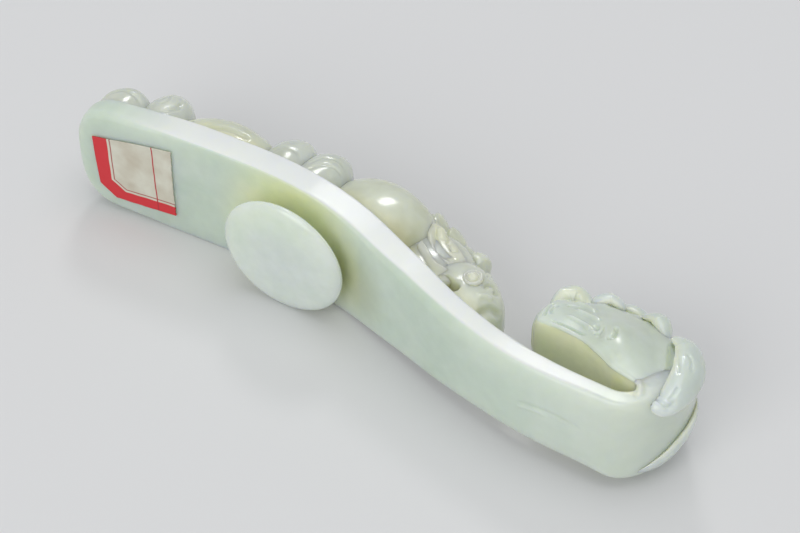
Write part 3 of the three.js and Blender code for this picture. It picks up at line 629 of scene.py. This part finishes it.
dragonPairs = {
    "brow": {
        "path": [(39.4, 6.2, 5.6), (41.6, 8.3, 5), (44.8, 8.2, 4.6)],
        "widths": [3.4, 4.6, 3.6], "heights": [1.2, 1.8, 1.3],
        "facing": (0, 0.85, 0.5), "ends": 3,
    },
    "horn": {
        "path": [(43.6, 9.4, 3.4), (46, 9.2, 3.4), (49, 8.2, 3.2), (52, 6.8, 3.1), (55.4, 4.6, 3)],
        "widths": [3.4, 3, 2.4, 1.6], "heights": [2, 1.7, 1.3, 0.8],
        "facing": (0, 0.9, 0.25), "strands": 2, "ends": 3,
    },
    "ear": {
        "path": [(48.4, 6.9, 6.2), (51.4, 6.6, 6.6), (54.6, 3.6, 6.8)],
        "widths": [3, 4.4, 3], "heights": [1, 1.9, 1], "facing": (0.3, 0.7, 0.65),
    },
    "mane": {
        "path": [(55.6, 3.4, 8), (58.8, 1.4, 8.3), (60.9, -3, 8.5), (61, -7.6, 8.4), (60.2, -11, 8.2),
                 (58.4, -12.6, 8.8)],
        "widths": [3.6, 5.8, 6.6, 6, 5, 3.8], "heights": [1.4, 2.2, 2.5, 2.3, 2.1, 1.6],
        "facing": (0, 0, 1.2), "around": (52, -5), "ends": 3.2,
        "strokes": [
            ([(58.9, -12.9), (58.1, -12.2), (58.9, -11.5), (60.1, -11.8), (61, -11.9), (61.6, -11.2),
              (61.7, -10)], 0.6, -0.45),
            ([(57.2, 0.3), (58.8, -2.9), (60.6, -6.4)], 0.5, -0.2),
            ([(59.5, -1.1), (60.9, -2.3), (62.1, -4.6)], 0.5, -0.2),
            ([(61.3, -8), (61.2, -10), (60.7, -11.3)], 0.5, -0.2),
        ],
        # the far lock is shorter, so that it stays behind the outline of the head
        "far": {
            "path": [(55.6, 3.4, 8), (58.4, 1.4, 8), (59.8, -2, 7.8), (59.6, -5.5, 7.4), (58.2, -8.5, 7)],
            "widths": [3.6, 4.6, 4.6, 4, 3], "heights": [1.4, 1.9, 2, 1.8, 1.3],
        },
    },
}
dragonPieces = []
for name, form in dragonForms.items():
    piece = strand("dragon" + name.capitalize(), form)
    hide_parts(frameNames[name])
    dragonPieces.append(piece)
for name, form in dragonPairs.items():
    for sideName, side in dragonSides:
        shape = {**form, **form.get("far", {})} if side < 0 else form
        piece = strand("dragon" + name.capitalize() + "_" + sideName, shape, side, (120, 90))
        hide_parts("dragon_" + name + "_" + sideName)
        dragonPieces.append(piece)
print("dragon:", len(dragonPieces), "strands")


# the young dragon on the front is made of mounds that stand on the shank and sink a little into it

span = lineLength - (hook["jaw"] - neckShares[-1][0] * hook["reach"]) - 6.4  # tail end to its muzzle


def squared(wave, power):
    # a sine or cosine made squarer, as for a superellipse of that power
    return np.sign(wave) * np.abs(wave) ** (2 / power)


def mound(form, side=1, counts=(90, 64)):
    # an arch across the shank, carried along it and closed toward both ends as an oval; box squares it
    power = 2 / (1 - form["box"])
    turn = np.linspace(-np.pi / 2, np.pi / 2, counts[0])[1:-1, None]
    along = form["place"] * span + np.sin(turn) * form["length"] * span / 2
    size = np.cos(turn) ** (2 / power)
    foot = np.arcsin(form["under"] ** (power / 2))
    arch = np.linspace(np.pi + foot, -foot, counts[1])[None]
    tall = form["height"] * size / (1 + form["under"])
    rise = tall * form["under"] + tall * squared(np.sin(arch), power)
    sideways = form["breadth"] / 2 * size * squared(np.cos(arch), power)
    lean = form.get("lean", 0) * rise
    rise = np.hstack([np.full_like(turn, -1.2), rise, np.full_like(turn, -1.2)])
    lean = np.hstack([0 * turn, lean, 0 * turn])
    sideways = np.hstack([0.85 * sideways[:, :1], sideways, 0.85 * sideways[:, -1:]])
    across = side * (form.get("across", 0) * shank["width"] / 2 + sideways)
    # painted warm glow toward the foot, where the mound meets the shank
    low = form.get("foot", 0.45) * (1 - smoothStep(rise, 0.5, 4))
    rings = overFront(along + lean, across, rise)
    # painted shade in an oval patch, and below in the deeper cuts
    shade = 0.9 * spotMask(rings, form.get("shadeAt", (0, -99)), form.get("shadeSize", (5, 5)), 2)
    if "strokes" in form:
        normals = gridNormals(rings)
        cut = marks(rings, normals, form["strokes"])
        rings = rings + normals * cut[..., None]
        shade = np.clip(shade - 0.35 * np.minimum(cut + 0.3, 0), 0, 1)
    return rings, {"paintedGlow": low, "shade": shade}


def pad(form, side=1, counts=(64, 150)):
    # a low cushion inside a closed outline, on a plane that leans, rounded over its rim and a little way down
    outline, _ = curveThrough([*form["outline"], form["outline"][0]], counts[1] + 1)
    outline = outline[:-1]
    middle = outline.mean(0)
    turn = np.linspace(0.02, 0.74 * np.pi, counts[0])[:, None]
    power = 2 / form.get("full", 2.6)
    reach = np.sin(turn) ** power
    above, below = form["tall"] * np.maximum(np.cos(turn), 0) ** power, form["deep"] * np.cos(turn)
    rise = np.where(turn < np.pi / 2, above, below)
    spot = middle + reach[..., None] * (outline - middle)
    height = form["base"] + rise + (spot - middle) @ np.array(form.get("lean", (0, 0)))
    rings = np.concatenate([spot, height[..., None]], -1)
    normals = gridNormals(rings)
    cut = marks(rings, normals, form.get("strokes", []))
    rings = rings + normals * cut[..., None]
    # painted warm glow over the cushion, strongest over its rim
    low = 0.3 + 0.5 * smoothStep(turn, 1.1, 1.6) + 0 * cut  # the rim lies in the cut
    return rings * np.array([1, 1, side]) + np.array([0, 0, midHeight]), {"paintedGlow": low}


def blade(form, counts=(260, 60)):
    # a thin fin between a notched upper line and a smooth lower one, oval across
    share = np.linspace(0, 1, counts[0])
    upper = smoothed(evenly(form["upper"], counts[0])[0], 4)
    lower = readRows(form["lower"], share)
    close = np.maximum(0.03, (1 - np.abs(2 * share - 1) ** 6) ** 0.5)[:, None]
    turn = np.linspace(0, 2 * np.pi, counts[1], endpoint=False)[None]
    centre, reach = (upper + lower) / 2, (upper - lower) / 2
    tooth = np.linalg.norm(upper - lower, axis=1)[:, None]
    tooth = tooth / tooth.max()
    flat = centre[:, None] + reach[:, None] * (np.cos(turn) * close)[..., None]
    across = form["breadth"] / 2 * np.sin(turn) * close * tooth
    return np.concatenate([flat, (midHeight + across)[..., None]], -1)


throatHollow = ([(15.4, -2.9), (16.5, -3.3), (17.7, -3.5)], 1.4, -2.4, 0)  # cut in both mane and head
# place and length are shares of the span; under is how much of the height undercuts, box squares the arch
reliefForms = {
    "chilongBody": {
        "place": 0.653, "length": 0.262, "breadth": 21.6, "height": 12.6, "under": 0.5, "box": 0.24,
        "lean": 0.06, "shadeAt": (4.5, 1.5), "shadeSize": (7, 6.5),
        "strokes": [([(2.6, 9.4), (4.6, 8.8), (6.6, 7.4)], 2.2, -0.16, 0.4)],
    },
    "chilongMane": {
        "place": 0.795, "length": 0.2, "breadth": 16.4, "height": 12.2, "under": 0.3, "box": 0.26,
        "shadeAt": (5.5, 2), "shadeSize": (4.5, 6), "strokes": [throatHollow],
    },
    "chilongHead": {
        "place": 0.889, "length": 0.216, "breadth": 17, "height": 10.9, "under": 0.55, "box": 0.25,
        "strokes": [
            throatHollow,
            ([(16.5, 5), (18, 5.9), (19.9, 5.2), (21.5, 3.6)], 0.9, 0.5),
            ([(17.6, 4), (19.2, 4.4), (20.8, 3.4), (22, 1.6)], 0.6, -0.4),
            ([(22.2, -1.6), (22.9, 0.6), (24.2, 0.2), (23.9, -1.2)], 0.6, -0.5),
            ([(22, -3.6), (23.2, -2.4), (24.6, -1.9)], 0.7, 0.35),
            ([(24, -6.6), (24.4, -4.8), (25.1, -3.6), (26.6, -2.6)], 1.1, -0.6, 0.05),
        ],
    },
    "chilongTail": {
        "place": 0.31, "length": 0.25, "breadth": 11, "height": 7.7, "under": 0.3, "box": 0.08,
        "across": 0.42, "uneven": 0.3, "foot": 0.6,
        "strokes": [
            ([(-44.6, 5.6), (-43.6, 7.6), (-43.4, 10)], 0.9, -0.5),
            ([(-40.6, 7.6), (-36, 9.6), (-30.4, 9.6)], 0.9, -0.3),
        ],
    },
}
crestForm = {
    "upper": [(1.9, 14.6), (2.5, 15.9), (3.1, 16.3), (4.1, 16.2), (4.5, 16.7), (5.5, 16.4), (6.9, 15.4),
              (8, 14.2), (8.5, 14.9), (9.8, 14.4), (11.9, 13.2), (12.4, 12.3), (13.6, 11.9), (14.8, 11.4),
              (15.6, 11.8), (17.2, 11.6), (18.1, 11.2), (18.3, 9.8), (18.9, 8.4)],
    "lower": [(3.6, 8.6), (9, 8.4), (14, 6.6), (17.6, 5)], "breadth": 10,
}
eyeTurn = np.linspace(0, 2 * np.pi, 9)
eyeRing = np.column_stack([np.cos(eyeTurn), np.sin(eyeTurn)])
eyeMiddle = np.array([19.8, -0.4])
padForms = {
    "leaf": {
        "outline": [(6.7, 9.6), (6.2, 8.4), (7, 6.6), (8.2, 4.4), (9.5, 2.6), (11.1, 1.4), (13.1, 0.6),
                    (15.1, 0.7), (16.7, 1.9), (16.5, 3.7), (14.9, 5.3), (12.8, 6.7), (10.8, 7.8), (8.5, 9.4)],
        "base": 6.5, "tall": 1.5, "deep": 4, "lean": (-0.05, -0.05),
        "strokes": [
            ([(7, 8), (7.6, 6.8), (8.8, 4.8), (10.1, 3.2), (11.5, 2.1), (13.2, 1.4), (15, 1.5), (16, 2.3)],
             0.6, 0.3),
            ([(8.1, 8.4), (9.1, 6.2), (10.4, 4.5), (11.9, 3.3), (13.6, 2.7), (15.2, 3.1)], 0.5, -0.3),
            ([(9, 8.4), (9.9, 6.6), (10.8, 5.4)], 1.1, 0.5),
            ([(11.2, 7.2), (11.7, 5.8), (12.1, 4.7)], 0.45, -0.25),
            ([(12.4, 6), (12.6, 4.8), (13.4, 4.1), (14.3, 4.6), (13.9, 5.4)], 0.45, -0.25),
        ],
    },
    "foreleg": {
        "outline": [(7.6, 3.6), (9.2, 2.6), (11.2, 1.2), (13.2, 0.2), (15.2, -0.2), (16.9, -0.6),
                    (17.2, -1.8), (16.2, -2.7), (15, -3.3), (13.6, -3.5), (12, -2.8), (10.1, -1.2),
                    (8.4, 0.8), (7.4, 2.4)],
        "base": 7.3, "tall": 1, "deep": 4, "lean": (-0.03, 0.12),
    },
    "eye": {
        "outline": eyeMiddle + 1.9 * eyeRing[:-1], "base": 8.15, "tall": 0.85, "deep": 2.5,
        "strokes": [(eyeMiddle + 1.15 * eyeRing, 0.42, -0.35, 0), ([(19.6, -0.4), (20, -0.4)], 0.6, 0.3, 0)],
    },
}
pairForms = {
    "tailCurl": {
        "place": 0.078, "length": 0.118, "breadth": 10.4, "height": 6.7, "box": 0.2,
        "strokes": [([(-62, 5.4), (-60.6, 8.2), (-57.8, 9.6), (-54.8, 9.2), (-53.4, 7.4)], 0.7, -0.22)],
    },
    "tailFork": {
        "place": 0.17, "length": 0.112, "breadth": 10.8, "height": 9, "box": 0.17,
        "strokes": [
            ([(-50.2, 6.4), (-48.2, 8), (-46.8, 10.4), (-47.2, 12.6)], 0.7, -0.35),
            ([(-51.8, 7.6), (-50, 9.4), (-49.4, 11.6), (-50.4, 13.2)], 0.5, -0.12),
        ],
    },
    "hindfoot": {
        "place": 0.444, "length": 0.107, "breadth": 10.6, "height": 9.4, "box": 0.17,
        "strokes": [([(-26.6, 7.6), (-24.4, 10.2), (-21.4, 10.4), (-19.6, 8.4)], 0.8, -0.15)],
    },
    "haunch": {
        "place": 0.516, "length": 0.107, "breadth": 10.6, "height": 10, "box": 0.17,
        "strokes": [
            ([(-18.6, 8.6), (-16.6, 11.4), (-13.8, 12.2), (-11.6, 11.2)], 0.5, -0.18),
            ([(-18, 6.8), (-15.8, 9.4), (-13.2, 10.2), (-11.2, 9.4)], 0.5, -0.18),
        ],
    },
}
reliefPieces = []
for name, form in reliefForms.items():
    rings, masks = mound(form, counts=(200, 170))
    rings = rings + gridNormals(rings) * (ripple(rings, 7, 3) * form.get("uneven", 0.06))[..., None]
    piece = closedPiece(name, rings, masks)
    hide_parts(frameNames[name])
    reliefPieces.append(piece)
for name, form in pairForms.items():
    for sideName, side in reliefSides:
        rings, masks = mound({**form, "under": 0.3, "across": 0.45, "foot": 0.15}, side, counts=(120, 110))
        rings = rings + gridNormals(rings) * (ripple(rings, 5, 5) * 0.12)[..., None]
        piece = closedPiece(name + "_" + sideName, rings, masks)
        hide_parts(frameNames[name] + "_" + sideName)
        reliefPieces.append(piece)
for name, form in padForms.items():
    for sideName, side in reliefSides:
        piece = closedPiece("chilong" + name.capitalize() + "_" + sideName, *pad(form, side))
        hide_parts("chilong_" + name + "_" + sideName)
        reliefPieces.append(piece)
crestPiece = closedPiece("chilongCrest", blade(crestForm))
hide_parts("chilong_crest")
reliefPieces.append(crestPiece)
print("young dragon:", len(reliefPieces), "pieces")


profile, _ = curveThrough(button["profile"], 110)
buttonPiece = turnedPiece("beltButton", profile[:, 0], profile[:, 1], uneven=button["uneven"])
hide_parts("button")
drop = np.linspace(0, 1, 40)
flare = 1 + (button["stemFoot"] - 1) * (2 * drop - 1) ** 4  # the stem widens a little toward both ends
depths = button["stemStart"] + drop * button["stemLength"]
stemPiece = turnedPiece("buttonStem", flare, depths, oval=button["stemRadii"], around=96)
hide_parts("button_stem")

label = {
    "top": [(-59.7, 18), (-51.5, 19.5), (-42.8, 20.8)],
    "bottom": [(-59.1, 6.6), (-55.8, 3.9), (-50, 4.1), (-42.9, 4.6)],
    "left": [(-59.7, 18), (-59.4, 12), (-59.1, 6.6)], "right": [(-42.8, 20.8), (-42.9, 12), (-42.9, 4.6)],
    "lift": 0.22, "curl": 0.1, "thick": 0.16,
    "border": [(-56.6, 24), (-56.4, 8.4), (-53.6, 6.2), (-38, 7.2)], "rule": [(-47, 24), (-46.6, 0)],
    # each print: the line it follows, how far from it the print starts and ends, and its colour
    "prints": [("fromBorder", -9, 0, (0.68, 0.035, 0.045)), ("fromBorder", 0.5, 0.74, (0.42, 0.10, 0.09)),
               ("fromRule", -0.13, 0.13, (0.50, 0.03, 0.04))],
    "paper": (0.72, 0.71, 0.60), "stain": (0.58, 0.53, 0.42),
}
backRows = spine[:neckRow]


def backFaceY(x, z):
    # height of the polished back over the x-z plane, crowned across the width
    order = np.argsort(backRows[:, 2])
    rows = backRows[order]
    y, half, crown = [np.interp(x, rows[:, 2], rows[:, i]) for i in (3, 4, 9)]
    return y - crown * (1 - np.clip((z - midHeight) / half, -1, 1) ** 2)


def awayFromLine(points, corners):
    # signed distance to an open line of straight runs, positive on its right-hand side
    best = np.full(len(points), 1e9)
    for a, b in zip(corners[:-1], corners[1:]):
        a, b = np.array(a, float), np.array(b, float)
        way = (b - a) / np.linalg.norm(b - a)
        run = np.clip((points - a) @ way, 0, np.linalg.norm(b - a))
        off = points - a - run[:, None] * way
        side = np.sign(way[0] * (points[:, 1] - a[1]) - way[1] * (points[:, 0] - a[0]))
        far = np.linalg.norm(off, axis=1) * np.where(side == 0, 1, side)
        best = np.where(np.abs(far) < np.abs(best) - 1e-6, far, best)
    return best


def paperSheet():
    # four edge curves blended across, then laid on the back of the shank with a little lift at the rim
    count = 90
    s, t = np.meshgrid(np.linspace(0, 1, count), np.linspace(0, 1, count), indexing="ij")
    s, t = s[..., None], t[..., None]
    top, bottom, left, right = [evenly(label[side], count)[0] for side in ("top", "bottom", "left", "right")]
    torn = 0.1 * np.sin(np.arange(count) * 1.1) * np.sin(np.arange(count) * 0.37 + 1)
    right[1:-1, 0] += torn[1:-1]
    flat = (1 - t) * top[:, None] + t * bottom[:, None] + (1 - s) * left[None] + s * right[None]
    flat = flat - (1 - s) * (1 - t) * top[0] - s * (1 - t) * top[-1]
    flat = flat - (1 - s) * t * bottom[0] - s * t * bottom[-1]
    flat = flat.reshape(-1, 2)
    rim = np.clip(np.minimum.reduce([s, 1 - s, t, 1 - t]).reshape(-1) * 9, 0, 1)
    wave = 0.03 * np.sin(flat[:, 0] * 1.7) * np.sin(flat[:, 1] * 1.3)
    face = backFaceY(flat[:, 0], flat[:, 1]) - label["lift"] - label["curl"] * (1 - rim) ** 2 - wave
    under = face + label["thick"] + 0.1 * (rim > 0.9)
    points = np.vstack([np.column_stack([flat[:, 0], y, flat[:, 1]]) for y in (face, under)])
    i, j = np.meshgrid(np.arange(count - 1) * count, np.arange(count - 1), indexing="ij")
    quads = np.stack([i + j, i + j + 1, i + count + j + 1, i + count + j], -1).reshape(-1, 4)
    size = count * count
    faces = [quads[:, ::-1], quads + size]
    for start, step, order in ((0, 1, -1), (size - count, 1, 1), (0, count, 1), (count - 1, count, -1)):
        a = start + np.arange(count - 1) * step
        faces.append(np.stack([a, a + size, a + step + size, a + step], -1)[:, ::order])
    spots = np.vstack([flat, flat])
    masks = {"from" + line.capitalize(): awayFromLine(spots, label[line]) for line in ("border", "rule")}
    return makePiece("paperLabel", points, faces, masks)


labelPiece = paperSheet()
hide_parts("paper_label")
print("button, stem and label made")


# pale and green are the stone's own clouding; land is the lighter colour of the ground land and also a
# painted sheen; deep multiplies in a painted warm glow in hollows and undersides; olive multiplies in painted
# shade
jadeTints = {
    "pale": (0.64, 0.73, 0.635), "green": (0.55, 0.66, 0.555), "land": (0.80, 0.83, 0.795),
    "deep": (1.32, 1.21, 0.92), "olive": (0.70, 0.68, 0.48),  # these two multiply the stone's colour
}
# clouds is the scale of the clouding, glow how far light spreads inside in metres, coat its weight and
# roughness; the shank's own roughness stays over 0.27, where the noise filter would leave a line across it
jadeFinishes = {
    "shankJade": {"clouds": 45, "glow": 0.006, "coat": (0.25, 0.12), "dull": 0.18},
    "buttonJade": {"pale": (0.73, 0.81, 0.73), "green": (0.66, 0.76, 0.66),
                   "clouds": 60, "glow": 0.006, "coat": (0.15, 0.08), "dull": 0},
    # the head's painted warm glow in the slot under the jaw is stronger
    "headJade": {"pale": (0.67, 0.75, 0.66), "green": (0.60, 0.67, 0.56), "deep": (1.44, 1.3, 1.05),
                 "clouds": 70, "glow": 0.003, "coat": (1, 0.45), "dull": 0.07},
    "lockJade": {"pale": (0.69, 0.76, 0.72), "green": (0.62, 0.69, 0.62),
                 "clouds": 70, "glow": 0.0025, "coat": (0.6, 0.35), "dull": 0.04},
    "reliefJade": {"pale": (0.69, 0.73, 0.61), "green": (0.61, 0.64, 0.50),
                   "clouds": 80, "glow": 0.004, "coat": (0.4, 0.35), "dull": 0.02},
    "bossJade": {"pale": (0.65, 0.69, 0.62), "green": (0.57, 0.61, 0.53),
                 "clouds": 80, "glow": 0.004, "coat": (0.4, 0.35), "dull": 0.03},
}


def setInputs(node, values):
    for key, value in values.items():
        node.inputs[key].default_value = value


def addNode(tree, kind, values=None, **settings):
    # a shader node with its settings, then fixed values for its inputs by name or number
    made = tree.nodes.new("ShaderNode" + kind)
    for key, value in settings.items():
        setattr(made, key, value)
    setInputs(made, values or {})
    return made


def wire(tree, *routes):
    # each route is a node and its output, then a node and its input
    for source, output, target, entry in routes:
        tree.links.new(source.outputs[output], target.inputs[entry])


def addSocket(group, name, kind, direction, value=None):
    made = group.interface.new_socket(name=name, in_out=direction, socket_type="NodeSocket" + kind)
    if value is not None:
        made.default_value = value


def jadeGroup():
    # clouds of paler and greener stone and a faint thread; point masks paint a warm glow into it, paint olive
    # shade on it, or pale it, partly as a painted sheen on the flat land
    group = bpy.data.node_groups.new("jadeStone", "ShaderNodeTree")
    for name in ("Pale", "Green", "Deep", "Land"):
        addSocket(group, name, "Color", "INPUT", (*jadeTints[name.lower()], 1))
    addSocket(group, "Cloud Scale", "Float", "INPUT", 55)
    addSocket(group, "Dullness", "Float", "INPUT", 0)
    addSocket(group, "Colour", "Color", "OUTPUT")
    addSocket(group, "Roughness", "Float", "OUTPUT")
    addSocket(group, "Height", "Float", "OUTPUT")
    enter, leave = group.nodes.new("NodeGroupInput"), group.nodes.new("NodeGroupOutput")
    place = addNode(group, "TexCoord")
    clouds = addNode(group, "TexNoise", {"Detail": 3, "Roughness": 0.55, "Distortion": 0.6})
    cloudMask = addNode(group, "MapRange", {"From Min": 0.38, "From Max": 0.66})
    tint = addNode(group, "Mix", data_type="RGBA")
    threads = addNode(group, "TexNoise", {"Scale": 420, "Detail": 4})
    bounds = {"From Min": 0.3, "From Max": 0.75, "To Min": 0.965, "To Max": 1.03}
    threadMask = addNode(group, "MapRange", bounds)
    grey = addNode(group, "CombineColor")
    threaded = addNode(group, "Mix", {"Factor": 1}, data_type="RGBA", blend_type="MULTIPLY")
    paintedGlow = addNode(group, "Attribute", attribute_name="paintedGlow")
    warm = addNode(group, "Mix", data_type="RGBA", blend_type="MULTIPLY")
    shade = addNode(group, "Attribute", attribute_name="shade")
    olive = addNode(group, "Mix", {"B": (*jadeTints["olive"], 1)}, data_type="RGBA", blend_type="MULTIPLY")
    land = addNode(group, "Attribute", attribute_name="land")
    groundAndSheen = addNode(group, "Mix", data_type="RGBA")
    gloss = addNode(group, "MapRange", {"To Min": 0.10, "To Max": 0.20})
    unpolished = addNode(group, "Math", {1: 0.10}, operation="MULTIPLY_ADD")
    worn = addNode(group, "Math", operation="ADD")
    scratches = addNode(group, "TexNoise", {"Scale": 260, "Detail": 2})
    wire(
        group,
        (place, "Object", clouds, "Vector"), (place, "Object", threads, "Vector"),
        (place, "Object", scratches, "Vector"), (enter, "Cloud Scale", clouds, "Scale"),
        (clouds, "Fac", cloudMask, "Value"), (cloudMask, "Result", tint, "Factor"),
        (enter, "Pale", tint, "A"), (enter, "Green", tint, "B"),
        (threads, "Fac", threadMask, "Value"), (threadMask, "Result", grey, "Red"),
        (threadMask, "Result", grey, "Green"), (threadMask, "Result", grey, "Blue"),
        (tint, "Result", threaded, "A"), (grey, "Color", threaded, "B"),
        (paintedGlow, "Fac", warm, "Factor"), (threaded, "Result", warm, "A"), (enter, "Deep", warm, "B"),
        (shade, "Fac", olive, "Factor"), (warm, "Result", olive, "A"),
        (land, "Fac", groundAndSheen, "Factor"), (olive, "Result", groundAndSheen, "A"), (enter, "Land", groundAndSheen, "B"),
        (clouds, "Fac", gloss, "Value"), (land, "Fac", unpolished, 0), (gloss, "Result", unpolished, 2),
        (unpolished, "Value", worn, 0), (enter, "Dullness", worn, 1),
        (groundAndSheen, "Result", leave, "Colour"), (worn, "Value", leave, "Roughness"),
        (scratches, "Fac", leave, "Height"),
    )
    return group


stoneGroup = jadeGroup()


def jadeMaterial(name, finish):
    material = bpy.data.materials.new(name)
    material.use_nodes = True
    tree = material.node_tree
    shader = tree.nodes["Principled BSDF"]
    values = {key.title(): (*finish.get(key, jadeTints[key]), 1) for key in ("pale", "green", "deep")}
    values.update({"Cloud Scale": finish["clouds"], "Dullness": finish["dull"]})
    stone = addNode(tree, "Group", values, node_tree=stoneGroup)
    bump = addNode(tree, "Bump", {"Strength": 0.05, "Distance": 0.0004})
    coat, coatRoughness = finish["coat"]
    setInputs(shader, {
        "IOR": 1.61, "Subsurface Weight": 0.85, "Subsurface Radius": (1, 0.95, 0.6),
        "Subsurface Scale": finish["glow"], "Coat Weight": coat, "Coat Roughness": coatRoughness,
    })
    wire(tree, (stone, "Colour", shader, "Base Color"), (stone, "Roughness", shader, "Roughness"),
         (stone, "Height", bump, "Height"), (bump, "Normal", shader, "Normal"))
    return material


jades = {name: jadeMaterial(name, finish) for name, finish in jadeFinishes.items()}
for name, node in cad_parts.items():
    finish = {"chilong": "reliefJade", "dragon": "headJade"}.get(name.split("_")[0], "shankJade")
    node.data.materials.clear()
    node.data.materials.append(jades[finish])


def finishPiece(piece, material):
    piece.data.materials.append(material)
    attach(piece, "root")


def paperMaterial():
    # cream paper with fibres, a printed border band, a thin line beside it and one ruled line
    material = bpy.data.materials.new("labelPaper")
    material.use_nodes = True
    tree = material.node_tree
    shader = tree.nodes["Principled BSDF"]
    shader.inputs["Roughness"].default_value = 0.72
    place = addNode(tree, "TexCoord")
    stains = addNode(tree, "TexNoise", {"Scale": 240, "Detail": 5})
    fade = addNode(tree, "MapRange", {"From Min": 0.35, "From Max": 0.75})
    tint = addNode(tree, "Mix", {"A": (*label["paper"], 1), "B": (*label["stain"], 1)}, data_type="RGBA")
    fibres = addNode(tree, "TexNoise", {"Scale": 2600, "Detail": 4})
    bump = addNode(tree, "Bump", {"Strength": 0.25, "Distance": 0.0001})
    wire(tree, (place, "Object", stains, "Vector"), (stains, "Fac", fade, "Value"),
         (fade, "Result", tint, "Factor"), (place, "Object", fibres, "Vector"),
         (fibres, "Fac", bump, "Height"), (bump, "Normal", shader, "Normal"))
    for mask, low, high, ink in label["prints"]:
        # inked where the distance to the line lies between the two, with an edge of 0.1 mm
        distance = addNode(tree, "Attribute", attribute_name=mask)
        offset = addNode(tree, "Math", {1: (low + high) / 2}, operation="SUBTRACT")
        away = addNode(tree, "Math", operation="ABSOLUTE")
        half = (high - low) / 2
        inked = addNode(tree, "MapRange", {"From Min": half + 0.05, "From Max": half - 0.05})
        paint = addNode(tree, "Mix", {"B": (*ink, 1)}, data_type="RGBA")
        wire(tree, (distance, "Fac", offset, 0), (offset, "Value", away, 0), (away, "Value", inked, "Value"),
             (inked, "Result", paint, "Factor"), (tint, "Result", paint, "A"))
        tint = paint
    wire(tree, (tint, "Result", shader, "Base Color"))
    return material


paper = paperMaterial()
finishPiece(labelPiece, paper)
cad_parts["paper_label"].data.materials.clear()
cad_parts["paper_label"].data.materials.append(paper)
finishPiece(buttonPiece, jades["buttonJade"])
finishPiece(stemPiece, jades["shankJade"])
finishPiece(shankPiece, jades["shankJade"])
finishPiece(headPiece, jades["headJade"])
for piece in dragonPieces:
    finishPiece(piece, jades["lockJade"])
for piece in reliefPieces:
    finish = "bossJade" if piece.name.split("_")[0] in pairForms else "reliefJade"
    finishPiece(piece, jades[finish])
print("jade and paper given to", len(dragonPieces) + len(reliefPieces) + 5, "pieces")


studio = {
    "floorSize": 6, "floorTint": (0.74, 0.74, 0.74, 1), "skyTint": (0.95, 0.97, 1, 1), "sky": 0.5,
    # a small lamp beyond the object gives the highlights, and two wide ones fill in from above and in front
    "lamps": {
        "keyLamp": {"spot": (-0.26, 0.57, 0.70), "size": 0.18, "power": 1},
        "topLamp": {"spot": (0.2, 0.1, 1.2), "size": 1, "power": 3.2},
        "frontLamp": {"spot": (-0.1, -0.95, 0.62), "size": 0.9, "power": 4.2},
    },
    "aim": (0, 0, 0.01),
}


def layFloor():
    size = studio["floorSize"]
    corners = [(-size, -size, 0), (size, -size, 0), (size, size, 0), (-size, size, 0)]
    mesh = bpy.data.meshes.new("floor")
    mesh.from_pydata(corners, [], [(0, 1, 2, 3)])
    material = bpy.data.materials.new("floorPaper")
    material.use_nodes = True
    shader = material.node_tree.nodes["Principled BSDF"]
    setInputs(shader, {"Base Color": studio["floorTint"], "Roughness": 0.9})
    mesh.materials.append(material)
    floor = bpy.data.objects.new("floor", mesh)
    bpy.context.scene.collection.objects.link(floor)


def areaLamp(name, spot, size, power):
    data = bpy.data.lights.new(name, "AREA")
    data.shape = "DISK"
    data.size = size
    data.energy = power
    lamp = bpy.data.objects.new(name, data)
    lamp.location = spot
    lamp.rotation_euler = (Vector(studio["aim"]) - Vector(spot)).to_track_quat("-Z", "Y").to_euler()
    bpy.context.scene.collection.objects.link(lamp)


layFloor()
for name, lamp in studio["lamps"].items():
    areaLamp(name, **lamp)
world = bpy.data.worlds.new("studio")
bpy.context.scene.world = world
world.use_nodes = True
sky = world.node_tree.nodes["Background"]
setInputs(sky, {"Color": studio["skyTint"], "Strength": studio["sky"]})
bpy.context.scene.view_settings.view_transform = "Standard"
